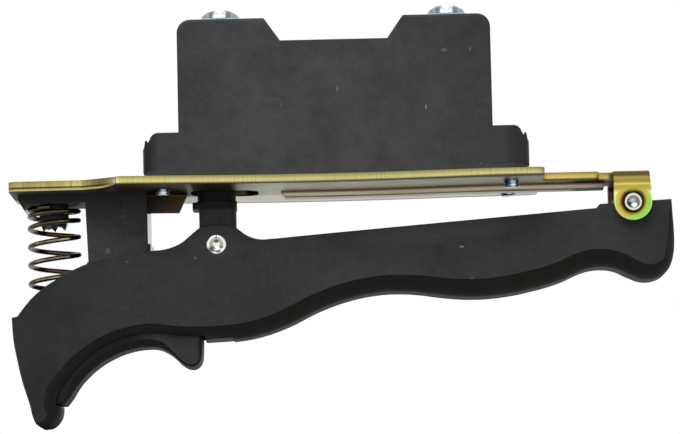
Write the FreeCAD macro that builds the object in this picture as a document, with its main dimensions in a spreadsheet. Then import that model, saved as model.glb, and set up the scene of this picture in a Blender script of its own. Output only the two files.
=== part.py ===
import FreeCAD, Part
import math
import os
import Sketcher

# Trigger-operated pushbutton switch on a steel plate, all sizes in millimetres.
# X runs along the plate towards the hinge, Y across the plate and Z up through the switch housing.
# The origin is the centre of the four fixing screws, on the underside of the plate.

doc = FreeCAD.newDocument("trigger_switch")
sheet = doc.addObject("Spreadsheet::Sheet", "Sheet")

SIZES = [
    # mounting plate
    ("plate_thick", 2.0),
    ("plate_half", 22.0),
    ("plate_front", 53.9),
    ("plate_rear", 51.0),
    ("front_tongue_end", 81.0),
    ("front_tongue_half", 15.0),
    ("front_tongue_fillet", 6.3),
    ("rear_tongue_half", 9.2),
    ("rear_tongue_end", 65.0),
    ("relief_half", 6.4),
    ("ear_width", 10.0),
    ("ear_outside", 12.0),
    ("ear_bend", 3.0),
    ("bead_half", 2.5),
    ("bead_depth", 1.5),
    ("bead_front", 14.0),
    ("bead_rear", 66.0),
    ("hole_front", 36.6),
    ("hole_rear", 19.6),
    ("hole_half", 6.5),
    ("tab_front", 55.0),
    ("tab_rear", 37.3),
    ("tab_low", 4.8),
    ("screw_x", 43.2),
    ("screw_y", 10.0),
    # hinge and links
    ("pivot_x", 73.1),
    ("pivot_z", 6.0),
    ("pin_x", 30.1),
    ("pin_z", 14.0),
    ("pivot_dia", 4.6),
    ("pin_dia", 4.0),
    ("lever_pivot_x", 71.6),
    ("lever_pivot_z", 50.0),
    # switch housing
    ("box_half_long", 38.6),
    ("box_half_wide", 20.0),
    ("flange_half", 47.2),
    ("flange_top", 12.7),
    ("cover_thick", 1.3),
    ("box_top", 40.7),
    ("notch_floor", 34.95),
    ("notch_half_low", 13.2),
    ("notch_half_high", 17.2),
    ("box_wall", 2.2),
    ("shoulder_roof", 4.3),
    ("notch_roof", 2.4),
    ("terminal_x", 28.1),
    ("terminal_y", 10.0),
    ("terminal_strip", 6.0),
    ("strip_thick", 1.2),
    ("contact_level", 27.8),
    # plunger
    ("stem_dia", 9.6),
    ("guide_dia", 9.76),
    ("neck_half", 4.6),
    ("collar_low", 5.3),
    ("collar_mid", 3.9),
    ("collar_top", 2.4),
    # trigger
    ("trigger_wide", 19.4),
    ("trigger_hollow", 15.0),
    ("trigger_bevel", 2.2),
    ("seat_z", 31.0),
    ("spring_x", 70.8),
    ("spring_dia", 13.2),
    ("spring_wire", 1.25),
    # lock lever and post
    ("lever_wide", 14.0),
    ("lever_bevel", 1.4),
    ("nose_wide", 7.6),
    ("nose_top", 24.6),
    ("post_half", 7.0),
    ("post_front", 62.6),
    ("post_rear", 46.5),
    ("post_low", 20.0),
    ("arm_thick", 2.6),
]

for row, (alias, value) in enumerate(SIZES, 1):
    sheet.set("A%d" % row, alias)
    sheet.set("B%d" % row, str(value))
    sheet.setAlias("B%d" % row, alias)
doc.recompute()


class Size:
    """A size of the sheet, or a sum of sizes, with its number and its expression."""

    def __init__(self, number, text):
        self.number = float(number)
        self.text = text

    def __add__(self, other):
        other = size(other)
        return Size(self.number + other.number, "(%s + %s)" % (self.text, other.text))

    def __sub__(self, other):
        other = size(other)
        return Size(self.number - other.number, "(%s - %s)" % (self.text, other.text))

    def __mul__(self, factor):
        return Size(self.number * factor, "(%s * %r)" % (self.text, float(factor)))

    def __neg__(self):
        return self * -1.0


def size(value):
    """A plain number as a Size; a Size stays as it is."""
    if isinstance(value, Size):
        return value
    return Size(value, "(%r)" % float(value))


def of(alias):
    """The size with this name in the sheet."""
    return Size(sheet.get(alias), "Sheet." + alias)


def bind(thing, prop, value):
    """Tie one property to a size of the sheet."""
    thing.setExpression(prop, size(value).text)


def new_body(label, several=False):
    """An empty body; several allows separate solids, as in a set of screws."""
    body = doc.addObject("PartDesign::Body", label)
    body.Label = label
    body.AllowCompound = several
    return body


def new_sketch(body, name, role, offset=None):
    """An empty sketch on one of the body's own planes, moved along that plane's normal."""
    sketch = body.newObject("Sketcher::SketchObject", name)
    plane = [item for item in body.Origin.OriginFeatures if item.Role == role][0]
    sketch.AttachmentSupport = (plane, [""])
    sketch.MapMode = "FlatFace"
    if offset is not None:
        bind(sketch, "AttachmentOffset.Base.z", offset)
    return sketch


def point(pair):
    """A sketch point from two sizes."""
    return FreeCAD.Vector(size(pair[0]).number, size(pair[1]).number, 0)


def pin_down(sketch, geo, pos, pair):
    """Hold one sketch point at two sizes from the origin."""
    for kind, axis, value in (("DistanceX", -2, size(pair[0])), ("DistanceY", -1, size(pair[1]))):
        if abs(value.number) < 1e-9:
            sketch.addConstraint(Sketcher.Constraint("PointOnObject", geo, pos, axis))
        elif value.number > 0:
            index = sketch.addConstraint(Sketcher.Constraint(kind, -1, 1, geo, pos, value.number))
            sketch.setExpression("Constraints[%d]" % index, value.text)
        else:
            index = sketch.addConstraint(Sketcher.Constraint(kind, geo, pos, -1, 1, -value.number))
            sketch.setExpression("Constraints[%d]" % index, (-value).text)


def add_polygon(sketch, corners):
    """A closed outline of straight lines with every corner held by sizes."""
    first = sketch.GeometryCount
    count = len(corners)
    for index in range(count):
        start = point(corners[index])
        end = point(corners[(index + 1) % count])
        sketch.addGeometry(Part.LineSegment(start, end))
    for index in range(count):
        after = first + (index + 1) % count
        sketch.addConstraint(Sketcher.Constraint("Coincident", first + index, 2, after, 1))
    for index in range(count):
        pin_down(sketch, first + index, 1, corners[index])


def add_box(sketch, left, right, low, high):
    """A rectangle between four sizes."""
    add_polygon(sketch, [(left, low), (right, low), (right, high), (left, high)])


def add_circle(sketch, centre, diameter):
    """A circle held by its centre and diameter."""
    diameter = size(diameter)
    circle = Part.Circle(point(centre), FreeCAD.Vector(0, 0, 1), diameter.number / 2)
    geo = sketch.addGeometry(circle)
    pin_down(sketch, geo, 3, centre)
    index = sketch.addConstraint(Sketcher.Constraint("Diameter", geo, diameter.number))
    sketch.setExpression("Constraints[%d]" % index, diameter.text)


def tangent_arc(start, heading, end):
    """The arc that leaves start along heading and reaches end; a line where it would be straight."""
    chord = end - start
    side = FreeCAD.Vector(-heading.y, heading.x, 0)
    bulge = 2 * side.dot(chord)
    if abs(bulge) < 1e-6 * chord.Length:
        return Part.LineSegment(start, end)
    reach = chord.dot(chord) / bulge
    centre = start + side * reach
    towards = (start - centre) + (end - centre)
    towards.normalize()
    return Part.Arc(start, centre + towards * abs(reach), end)


def headings(spots):
    """The direction of a smooth edge at each of its stations, from the circle through the neighbours."""
    found = []
    for before, spot, after in zip(spots, spots[1:], spots[2:]):
        way_in = spot - before
        way_out = after - spot
        heading = way_in * (way_out.Length / way_in.Length) + way_out * (way_in.Length / way_out.Length)
        found.append(heading.normalize())
    first = (spots[1] - spots[0]).normalize()
    last = (spots[-1] - spots[-2]).normalize()
    opening = first * (2 * first.dot(found[0])) - found[0]
    closing = last * (2 * last.dot(found[-1])) - found[-1]
    return [opening] + found + [closing]


def add_curve(sketch, stations):
    """A smooth moulded edge through stations, drawn as pairs of arcs that meet without a corner."""
    spots = [FreeCAD.Vector(x, y, 0) for x, y in stations]
    ways = headings(spots)
    for start, end, leaving, arriving in zip(spots, spots[1:], ways, ways[1:]):
        chord = end - start
        both = leaving + arriving
        turn = 2 * (1 - leaving.dot(arriving))
        if turn < 1e-9:
            step = chord.dot(chord) / (4 * chord.dot(arriving))
        else:
            step = (math.sqrt(chord.dot(both) ** 2 + turn * chord.dot(chord)) - chord.dot(both)) / turn
        meet = (start + end + (leaving - arriving) * step) * 0.5
        sketch.addGeometry(tangent_arc(start, leaving, meet))
        sketch.addGeometry(tangent_arc(end, arriving * -1.0, meet))


def add_line(sketch, start, end):
    """A straight piece of a moulded edge."""
    sketch.addGeometry(Part.LineSegment(FreeCAD.Vector(*start, 0), FreeCAD.Vector(*end, 0)))


def extrude(kind, body, name, sketch, length, both, back):
    """A pad or pocket of one sketch; without a length it runs through everything."""
    feature = body.newObject("PartDesign::" + kind, name)
    feature.Profile = sketch
    if both:
        feature.SideType = "Symmetric"
    if length is None:
        feature.Type = "ThroughAll"
    else:
        bind(feature, "Length", length)
    feature.Reversed = back
    sketch.Visibility = False
    doc.recompute()
    return feature


def pad(body, name, sketch, length, both=False, back=False):
    """Add material along the sketch normal."""
    return extrude("Pad", body, name, sketch, length, both, back)


def pocket(body, name, sketch, length=None, both=False, back=False):
    """Take material away against the sketch normal."""
    return extrude("Pocket", body, name, sketch, length, both, back)


def edge_points(edge):
    """Both ends and the middle of an edge."""
    first = edge.FirstParameter
    last = edge.LastParameter
    return [edge.valueAt(first), edge.valueAt(last), edge.valueAt((first + last) / 2)]


def lies_at(edge, x=None, y=None, z=None):
    """True for an edge that stays on the given coordinates; y is taken on both sides."""
    for spot in edge_points(edge):
        if x is not None and abs(spot.x - x) > 0.02:
            return False
        if y is not None and abs(abs(spot.y) - y) > 0.02:
            return False
        if z is not None and abs(spot.z - z) > 0.02:
            return False
    return True


def soften(kind, body, name, amount, test):
    """Round or bevel the edges that pass the test."""
    base = body.Tip
    names = ["Edge%d" % (index + 1) for index, edge in enumerate(base.Shape.Edges) if test(edge)]
    feature = body.newObject("PartDesign::" + kind, name)
    feature.Base = (base, names)
    bind(feature, "Radius" if kind == "Fillet" else "Size", amount)
    base.Visibility = False
    doc.recompute()
    return feature


def fillet(body, name, amount, test):
    """Round edges."""
    return soften("Fillet", body, name, amount, test)


def chamfer(body, name, amount, test):
    """Bevel edges."""
    return soften("Chamfer", body, name, amount, test)


RUNS_PER_TURN = 14
WIRE_SIDES = 6


def coil(label, centre, outside, wire, low, high, turns):
    """A right-handed compression spring standing between two levels, wound from short straight runs."""
    wire = size(wire).number
    mean = (size(outside).number - wire) / 2
    rise = size(high).number - size(low).number - wire
    count = int(turns * RUNS_PER_TURN)
    path = []
    for step in range(count + 1):
        angle = 2 * math.pi * step / RUNS_PER_TURN
        level = wire / 2 + rise * step / count
        path.append(FreeCAD.Vector(mean * math.cos(angle), mean * math.sin(angle), level))
    along = (path[1] - path[0]).normalize()
    outward = FreeCAD.Vector(1, 0, 0)
    upward = along.cross(outward)
    section = []
    for corner in range(WIRE_SIDES + 1):
        angle = 2 * math.pi * (corner % WIRE_SIDES) / WIRE_SIDES
        section.append(path[0] + (outward * math.cos(angle) + upward * math.sin(angle)) * (wire / 2))
    spring = doc.addObject("Part::Feature", label)
    spring.Label = label
    spring.Shape = Part.makePolygon(path).makePipeShell([Part.makePolygon(section)], True, True, 1)
    spring.Placement = FreeCAD.Placement(
        FreeCAD.Vector(size(centre[0]).number, size(centre[1]).number, size(low).number),
        FreeCAD.Rotation())
    return spring


SIGNS = (-1.0, 1.0)
CORNERS = [(sx, sy) for sx in SIGNS for sy in SIGNS]


# Mounting plate: one steel blank with a tongue at each end.
# The rear tongue is folded down on both sides into the clevis ears of the hinge.
plate = new_body("mounting_plate")
ear_front = of("pivot_x") - of("ear_width") * 0.5
ear_rear = of("pivot_x") + of("ear_width") * 0.5
half_outline = [
    (-of("front_tongue_end"), of("front_tongue_half")),
    (-of("plate_front"), of("front_tongue_half")),
    (-of("plate_front"), of("plate_half")),
    (of("plate_rear"), of("plate_half")),
    (of("plate_rear"), of("rear_tongue_half")),
    (of("rear_tongue_end"), of("rear_tongue_half")),
    (of("rear_tongue_end"), of("relief_half")),
    (ear_front, of("relief_half")),
    (ear_front, of("ear_outside")),
    (ear_rear, of("ear_outside")),
]
blank = new_sketch(plate, "plate_blank", "XY_Plane")
add_polygon(blank, half_outline + [(x, -y) for x, y in reversed(half_outline)])
pad(plate, "plate_sheet", blank, of("plate_thick"))

fillet(plate, "tongue_sweep", of("front_tongue_fillet"), lambda e: lies_at(e, x=-53.9, y=15.0))
fillet(plate, "front_corners", 2.0, lambda e: lies_at(e, x=-81.0, y=15.0))
fillet(plate, "rear_corners", 2.2, lambda e: lies_at(e, x=51.0, y=22.0))
fillet(plate, "tongue_corners", 1.2, lambda e: lies_at(e, x=65.0, y=9.2) or lies_at(e, x=51.0, y=9.2))

# Each ear hangs below the tongue's end and is rounded about the hinge.
ears = new_sketch(plate, "ear_plan", "XY_Plane", of("plate_thick"))
for side in SIGNS:
    inner = (of("ear_outside") - of("plate_thick")) * side
    outer = of("ear_outside") * side
    add_box(ears, ear_front, ear_rear, inner, outer)
ear_drop = of("pivot_z") + of("ear_width") * 0.5 + of("plate_thick")
pad(plate, "ear_legs", ears, ear_drop, back=True)
fillet(plate, "ear_bend_outside", of("ear_bend"), lambda e: lies_at(e, y=12.0, z=2.0))
fillet(plate, "ear_bend_inside", of("ear_bend") - of("plate_thick"), lambda e: lies_at(e, y=10.0, z=0.0))


def is_ear_corner(edge):
    """The two lower corners of each ear."""
    return lies_at(edge, x=68.1, z=-11.0) or lies_at(edge, x=78.1, z=-11.0)


fillet(plate, "ear_ends", of("ear_width") * 0.499, is_ear_corner)
eye = new_sketch(plate, "ear_eyes", "XZ_Plane")
add_circle(eye, (of("pivot_x"), -of("pivot_z")), of("pivot_dia") + 0.1)
pocket(plate, "ear_bores", eye, both=True)
chamfer(plate, "ear_countersinks", 0.95, lambda e: lies_at(e, y=12.0) and e.Length < 16 and e.Closed)

# The bead is pressed downwards along the middle, so its hollow shows on top.
ridge = new_sketch(plate, "bead_ridge", "YZ_Plane", -of("bead_front"))
add_polygon(ridge, [
    (-of("bead_half"), 0.0),
    (of("bead_half") * -0.36, -of("bead_depth")),
    (of("bead_half") * 0.36, -of("bead_depth")),
    (of("bead_half"), 0.0),
    (of("bead_half"), 0.4),
    (-of("bead_half"), 0.4),
])
bead_long = of("bead_rear") + of("bead_front")
pad(plate, "bead_below", ridge, bead_long)
chamfer(plate, "bead_ends", 1.2, lambda e: lies_at(e, z=-1.5) and abs(e.Length - 1.8) < 0.05)
hollow = new_sketch(plate, "bead_hollow", "YZ_Plane", of("bead_rear") - 1.5)
add_polygon(hollow, [
    (of("bead_half") * -0.76, of("plate_thick") + 0.2),
    (of("bead_half") * -0.28, of("plate_thick") - 1.3),
    (of("bead_half") * 0.28, of("plate_thick") - 1.3),
    (of("bead_half") * 0.76, of("plate_thick") + 0.2),
])
pocket(plate, "bead_above", hollow, bead_long - 3.0)
fillet(plate, "bead_crest", 0.7, lambda e: lies_at(e, y=0.9, z=-1.5))

# The plunger passes a round-cornered hole; beside it a flap is lanced and folded down for the lock post.
opening = new_sketch(plate, "plunger_opening", "XY_Plane")
add_box(opening, -of("hole_front"), -of("hole_rear"), -of("hole_half"), of("hole_half"))
pocket(plate, "plunger_hole", opening, both=True)
fillet(plate, "plunger_hole_ends", 4.0,
       lambda e: lies_at(e, x=-36.6, y=6.5) or lies_at(e, x=-19.6, y=6.5))
window = new_sketch(plate, "flap_window", "XY_Plane")
add_box(window, -of("tab_front"), -of("tab_rear") - 1.2, 1.0, 6.6)
pocket(plate, "flap_opening", window, both=True)
flap = new_sketch(plate, "flap_outline", "XZ_Plane")
add_polygon(flap, [
    (-of("tab_front"), of("plate_thick")),
    (-of("tab_rear"), of("plate_thick")),
    (-of("tab_rear"), 0.0),
    (-of("tab_rear") - 2.2, -of("tab_low")),
    (-of("tab_front"), -of("tab_low")),
])
pad(plate, "flap_leg", flap, of("plate_thick"), both=True)
fillet(plate, "flap_fold", 0.8,
       lambda e: lies_at(e, y=1.0, z=0.0) and edge_points(e)[2].y < 0 and e.Length > 10)

screw_holes = new_sketch(plate, "plate_screw_plan", "XY_Plane")
for sx, sy in CORNERS:
    add_circle(screw_holes, (of("screw_x") * sx, of("screw_y") * sy), 3.56)
pocket(plate, "plate_screw_holes", screw_holes, both=True)
POST_SCREWS = [-of("spring_x"), -of("post_front") + 3.3]
post_holes = new_sketch(plate, "plate_post_plan", "XY_Plane")
for spot in POST_SCREWS:
    add_circle(post_holes, (spot, 0.0), 3.3)
pocket(plate, "plate_post_holes", post_holes, both=True)
chamfer(plate, "plate_countersinks", 1.5,
        lambda e: lies_at(e, z=2.0) and e.Closed and abs(e.Length - math.pi * 3.3) < 0.05)


# Switch housing: a moulded box open below, with a screw flange at each end.
# Two raised shoulders carry the terminals and leave a notch between them.
housing = new_body("switch_housing")
cover_top = of("plate_thick") + of("cover_thick")
tower = new_sketch(housing, "box_side", "XZ_Plane")
add_polygon(tower, [
    (-of("box_half_long"), cover_top + 1.0),
    (-of("box_half_long"), of("box_top")),
    (-of("notch_half_high"), of("box_top")),
    (-of("notch_half_low"), of("notch_floor")),
    (of("notch_half_low"), of("notch_floor")),
    (of("notch_half_high"), of("box_top")),
    (of("box_half_long"), of("box_top")),
    (of("box_half_long"), cover_top + 1.0),
])
pad(housing, "box_tower", tower, of("box_half_wide") * 2.0, both=True)
fillet(housing, "shoulder_corners", 3.3,
       lambda e: lies_at(e, x=-38.6, z=40.7) or lies_at(e, x=38.6, z=40.7))
fillet(housing, "box_edges", 0.7,
       lambda e: lies_at(e, y=20.0) and edge_points(e)[2].z > 5.0 and abs(edge_points(e)[2].x) > 17.3)
foot = new_sketch(housing, "flange_plan", "XY_Plane", cover_top)
add_box(foot, -of("flange_half"), of("flange_half"), -of("box_half_wide"), of("box_half_wide"))
pad(housing, "flange_block", foot, of("flange_top") - cover_top)
fillet(housing, "flange_corners", 4.5, lambda e: lies_at(e, x=47.2, y=20.0) or lies_at(e, x=-47.2, y=20.0))

inner_half = of("box_half_long") - of("box_wall")
ceiling = of("box_top") - of("shoulder_roof")
notch_ceiling = of("notch_floor") - of("notch_roof")
room = new_sketch(housing, "room_side", "XZ_Plane")
add_polygon(room, [
    (-inner_half, cover_top - 1.0),
    (-inner_half, ceiling),
    (-of("notch_half_high") - 1.5, ceiling),
    (-of("notch_half_low") - 1.5, notch_ceiling),
    (of("notch_half_low") + 1.5, notch_ceiling),
    (of("notch_half_high") + 1.5, ceiling),
    (inner_half, ceiling),
    (inner_half, cover_top - 1.0),
])
room_wide = (of("box_half_wide") - of("box_wall")) * 2.0
pocket(housing, "room", room, room_wide, both=True)
relief = new_sketch(housing, "guide_relief", "XY_Plane", cover_top)
add_box(relief, -inner_half - 1.9, -inner_half + 0.5, -8.0, 8.0)
pocket(housing, "guide_relief_cut", relief, 2.6, back=True)
wall = new_sketch(housing, "pole_wall_side", "XZ_Plane")
add_box(wall, -8.0, inner_half + 0.2, 12.0, notch_ceiling + 0.3)
pad(housing, "pole_wall", wall, 1.6, both=True)

boss = new_sketch(housing, "terminal_boss_plan", "XY_Plane", ceiling + 0.2)
for sx, sy in CORNERS:
    add_circle(boss, (of("terminal_x") * sx, of("terminal_y") * sy), 8.0)
pad(housing, "terminal_bosses", boss, 4.4, back=True)
nest = new_sketch(housing, "terminal_nest_plan", "XY_Plane", of("box_top"))
slot = new_sketch(housing, "terminal_slot_plan", "XY_Plane", of("box_top"))
land_out = inner_half - 1.5
land_in = of("terminal_x") - 5.2
for sx, sy in CORNERS:
    low = of("terminal_y") * sy - (of("terminal_strip") * 0.5 + 0.1)
    high = of("terminal_y") * sy + of("terminal_strip") * 0.5 + 0.1
    ends = sorted([land_in * sx, (land_out + 0.1) * sx], key=lambda item: item.number)
    add_box(nest, ends[0] - (0.1 if sx > 0 else 0.0), ends[1] + (0.1 if sx < 0 else 0.0), low, high)
    ends = sorted([(land_out - 1.3) * sx, (land_out + 0.1) * sx], key=lambda item: item.number)
    add_box(slot, ends[0], ends[1], low, high)
pocket(housing, "terminal_nests", nest, of("strip_thick"))
pocket(housing, "terminal_slots", slot, of("shoulder_roof") + 1.0)
thread = new_sketch(housing, "terminal_thread_plan", "XY_Plane", of("box_top"))
for sx, sy in CORNERS:
    add_circle(thread, (of("terminal_x") * sx, of("terminal_y") * sy), 4.6)
pocket(housing, "terminal_threads", thread, 7.6)
perch = new_sketch(housing, "spring_perch_plan", "XY_Plane", ceiling + 0.2)
add_circle(perch, (-of("pin_x"), 0.0), 5.4)
pad(housing, "spring_perch", perch, 2.7, back=True)

# The flange screws sit in counterbores that break out through the flange ends.
flange_holes = new_sketch(housing, "flange_hole_plan", "XY_Plane", of("flange_top"))
flange_sinks = new_sketch(housing, "flange_sink_plan", "XY_Plane", of("flange_top"))
for sx, sy in CORNERS:
    add_circle(flange_holes, (of("screw_x") * sx, of("screw_y") * sy), 4.4)
    add_circle(flange_sinks, (of("screw_x") * sx, of("screw_y") * sy), 8.6)
pocket(housing, "flange_holes", flange_holes, of("flange_top") - cover_top + 1.0)
pocket(housing, "flange_sinks", flange_sinks, 2.5)


# Base cover: closes the housing below and guides the plunger.
cover = new_body("base_cover")
floor = new_sketch(cover, "cover_plan", "XY_Plane", of("plate_thick"))
add_box(floor, -of("flange_half"), of("flange_half"), -of("box_half_wide"), of("box_half_wide"))
pad(cover, "cover_sheet", floor, of("cover_thick"))
fillet(cover, "cover_corners", 4.5,
       lambda e: lies_at(e, x=-47.2, y=20.0) or lies_at(e, x=47.2, y=20.0))
rim = new_sketch(cover, "cover_rim_plan", "XY_Plane", cover_top)
rim_x = inner_half - 0.1
rim_y = room_wide * 0.5 - 0.1
add_box(rim, -rim_x, rim_x, -rim_y, rim_y)
add_box(rim, -rim_x + 1.8, rim_x - 1.8, -rim_y + 1.8, rim_y - 1.8)
pad(cover, "cover_rim", rim, 3.0)
sleeve = new_sketch(cover, "guide_plan", "XY_Plane", cover_top)
add_circle(sleeve, (-of("pin_x"), 0.0), of("guide_dia") + 2.1)
pad(cover, "guide_sleeve", sleeve, 8.2)
shoe = new_sketch(cover, "guide_foot_plan", "XY_Plane", cover_top)
add_box(shoe, -of("pin_x") - 7.6, -of("pin_x") + 6.2, -6.6, 6.6)
pad(cover, "guide_foot", shoe, 2.2)
bore = new_sketch(cover, "guide_bore_plan", "XY_Plane", of("plate_thick"))
add_circle(bore, (-of("pin_x"), 0.0), of("guide_dia"))
pocket(cover, "guide_bore", bore, both=True)
recess = new_sketch(cover, "collar_recess_plan", "XY_Plane", of("plate_thick"))
add_box(recess, -of("pin_x") - 6.5, -of("pin_x") + 5.4, -5.3, 5.3)
pocket(cover, "collar_recess", recess, 2.3, back=True)
cover_holes = new_sketch(cover, "cover_hole_plan", "XY_Plane", of("plate_thick"))
for sx, sy in CORNERS:
    add_circle(cover_holes, (of("screw_x") * sx, of("screw_y") * sy), 4.4)
pocket(cover, "cover_holes", cover_holes, 2.0, back=True)


def screw_set(label, spots, shank_dia, head_dia, tip, seat, top, slot_deep, thread=None):
    """Pan-head screws with a cross recess, all of one size; thread gives a thicker threaded end."""
    body = new_body(label, several=True)
    start = size(tip) if thread is None else size(tip) + thread[1]
    shanks = new_sketch(body, label + "_shanks", "XY_Plane", start)
    heads = new_sketch(body, label + "_heads", "XY_Plane", seat)
    cross = new_sketch(body, label + "_cross", "XY_Plane", top)
    blade = new_sketch(body, label + "_blade", "XY_Plane", top)
    for spot_x, spot_y in spots:
        add_circle(shanks, (spot_x, spot_y), shank_dia)
        add_circle(heads, (spot_x, spot_y), head_dia)
        reach = head_dia * 0.3
        add_box(cross, spot_x - reach, spot_x + reach, spot_y - 0.6, spot_y + 0.6)
        add_box(blade, spot_x - 0.6, spot_x + 0.6, spot_y - reach, spot_y + reach)
    pad(body, label + "_shank", shanks, size(seat) - start)
    if thread is not None:
        ends = new_sketch(body, label + "_ends", "XY_Plane", start)
        for spot in spots:
            add_circle(ends, spot, thread[0])
        pad(body, label + "_thread", ends, thread[1], back=True)
    end = size(tip).number
    chamfer(body, label + "_tips", 0.4, lambda e: lies_at(e, z=end))
    pad(body, label + "_head", heads, size(top) - size(seat))
    crown = size(top).number
    chamfer(body, label + "_crowns", 0.9, lambda e: lies_at(e, z=crown))
    pocket(body, label + "_recess", cross, slot_deep)
    pocket(body, label + "_recess_across", blade, slot_deep)
    return body


# Fixing screws: M4 through flange, cover and plate, with their ends standing out below.
screw_spots = [(of("screw_x") * sx, of("screw_y") * sy) for sx, sy in CORNERS]
screw_set("fixing_screws", screw_spots, 3.5, 7.4, size(-1.5), of("flange_top") - 2.5, of("flange_top"), 1.2,
          thread=(3.9, 1.5))

# Terminal screws and the square clamps under their heads.
terminal_spots = [(of("terminal_x") * sx, of("terminal_y") * sy) for sx, sy in CORNERS]
clamp_top = of("box_top") + 1.0
screw_set("terminal_screws", terminal_spots, 4.4, 9.8, of("box_top") - 7.0, clamp_top, clamp_top + 2.6, 1.4)
clamps = new_body("terminal_clamps", several=True)
clamp_plan = new_sketch(clamps, "clamp_plan", "XY_Plane", of("box_top"))
for spot_x, spot_y in terminal_spots:
    add_box(clamp_plan, spot_x - 4.5, spot_x + 4.5, spot_y - 4.5, spot_y + 4.5)
    add_circle(clamp_plan, (spot_x, spot_y), 4.6)
pad(clamps, "clamp_sheet", clamp_plan, 1.0)


def contact_bar(label, side, corners):
    """A brass strip folded from the terminal land down to its contact."""
    body = new_body(label)
    profile = new_sketch(body, label + "_fold", "XZ_Plane", -of("terminal_y") * side)
    add_polygon(profile, corners)
    pad(body, label + "_strip", profile, of("terminal_strip"), both=True)
    eyelet = new_sketch(body, label + "_eye", "XY_Plane", of("box_top"))
    towards = -1.0 if size(corners[0][0]).number < 0 else 1.0
    add_circle(eyelet, (of("terminal_x") * towards, of("terminal_y") * side), 4.6)
    pocket(body, label + "_hole", eyelet, 2.0)
    return body


# Fixed contacts: the line strips end beside the plunger, the load strips run the length of the box.
strip = of("strip_thick")
level = of("contact_level")
line_fold = [
    (-land_in, of("box_top")),
    (-land_out, of("box_top")),
    (-land_out, level + strip),
    (-land_out - 1.1, level + strip),
    (-land_out - 1.1, level),
    (-land_out + strip, level),
    (-land_out + strip, of("box_top") - strip),
    (-land_in, of("box_top") - strip),
]
load_fold = [
    (land_in, of("box_top")),
    (land_out, of("box_top")),
    (land_out, level),
    (-of("pin_x") + 3.5, level),
    (-of("pin_x") + 3.5, level + strip),
    (land_out - strip, level + strip),
    (land_out - strip, of("box_top") - strip),
    (land_in, of("box_top") - strip),
]
for side, place in ((-1.0, "near"), (1.0, "far")):
    contact_bar("line_contact_" + place, side, line_fold)
    contact_bar("load_contact_" + place, side, load_fold)

TIP_LINE = -of("pin_x") - 4.8
TIP_LOAD = -of("pin_x") + 5.0
fixed_tips = new_body("fixed_tips", several=True)
tip_plan = new_sketch(fixed_tips, "fixed_tip_plan", "XY_Plane", level)
for side in SIGNS:
    add_circle(tip_plan, (TIP_LINE, of("terminal_y") * side), 2.0)
    add_circle(tip_plan, (TIP_LOAD, of("terminal_y") * side), 2.6)
pad(fixed_tips, "fixed_tip_buttons", tip_plan, 0.8, back=True)


# Plunger: the pushbutton, with a collar below the plate and a slotted foot on the link rivet.
plunger = new_body("plunger")
leg = new_sketch(plunger, "foot_plan", "XY_Plane", -of("collar_mid"))
add_box(leg, -of("pin_x") - 4.4, -of("pin_x") + 4.8, -of("neck_half"), of("neck_half"))
pad(plunger, "foot", leg, of("pin_z") + 3.9 - of("collar_mid"), back=True)
fillet(plunger, "foot_corners", 2.2, lambda e: lies_at(e, y=4.6) and e.Length > 11.0)
lower = new_sketch(plunger, "collar_lower_plan", "XY_Plane", -of("collar_low"))
add_box(lower, -of("pin_x") - 6.0, -of("pin_x") + 5.0, -4.9, 4.9)
pad(plunger, "collar_lower", lower, of("collar_low") - of("collar_mid"))
fillet(plunger, "collar_corners", 2.4, lambda e: lies_at(e, y=4.9) and
       (lies_at(e, x=-36.1) or lies_at(e, x=-25.1)))
upper = new_sketch(plunger, "collar_upper_plan", "XY_Plane", -of("collar_mid"))
add_circle(upper, (-of("pin_x"), 0.0), of("stem_dia") + 0.6)
pad(plunger, "collar_upper", upper, of("collar_mid") - of("collar_top"))
stem = new_sketch(plunger, "stem_plan", "XY_Plane", -of("collar_top"))
add_circle(stem, (-of("pin_x"), 0.0), of("stem_dia"))
pad(plunger, "stem", stem, of("collar_top") + 13.0)
SLOT_FRONT = -of("pin_x") - 0.7
SLOT_REAR = -of("pin_x") + 0.5
slot_high = of("pin_dia") + 0.12
middle = new_sketch(plunger, "link_slot_side", "XZ_Plane")
add_box(middle, SLOT_FRONT, SLOT_REAR, -of("pin_z") - slot_high * 0.5, -of("pin_z") + slot_high * 0.5)
pocket(plunger, "link_slot", middle, both=True)
for slot_end, place in ((SLOT_FRONT, "front"), (SLOT_REAR, "rear")):
    end_round = new_sketch(plunger, "link_slot_%s_side" % place, "XZ_Plane")
    add_circle(end_round, (slot_end, -of("pin_z")), slot_high)
    pocket(plunger, "link_slot_" + place, end_round, both=True)
spigot = new_sketch(plunger, "spigot_plan", "XY_Plane", size(13.0))
add_circle(spigot, (-of("pin_x"), 0.0), 5.0)
pad(plunger, "spigot", spigot, 3.0)

# Contact carrier: a cross bar pressed on the plunger's spigot, with a window for each bridge.
carrier = new_body("contact_carrier")
beam = new_sketch(carrier, "carrier_plan", "XY_Plane", size(13.0))
add_box(beam, -of("pin_x") - 3.0, -of("pin_x") + 3.0, -14.2, 14.2)
pad(carrier, "carrier_beam", beam, 8.4)
frames = new_sketch(carrier, "carrier_windows", "YZ_Plane", -of("pin_x") - 4.0)
for side in SIGNS:
    pole = of("terminal_y") * side
    add_box(frames, pole - 3.2, pole + 3.2, 14.8, 20.0)
pocket(carrier, "carrier_openings", frames, 8.0, back=True)
socket = new_sketch(carrier, "spigot_socket_plan", "XY_Plane", size(13.0))
add_circle(socket, (-of("pin_x"), 0.0), 5.06)
pocket(carrier, "spigot_socket", socket, 3.1, back=True)
spring_nest = new_sketch(carrier, "spring_nest_plan", "XY_Plane", size(21.4))
add_circle(spring_nest, (-of("pin_x"), 0.0), 5.6)
pocket(carrier, "spring_nest", spring_nest, 1.9)


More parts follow.
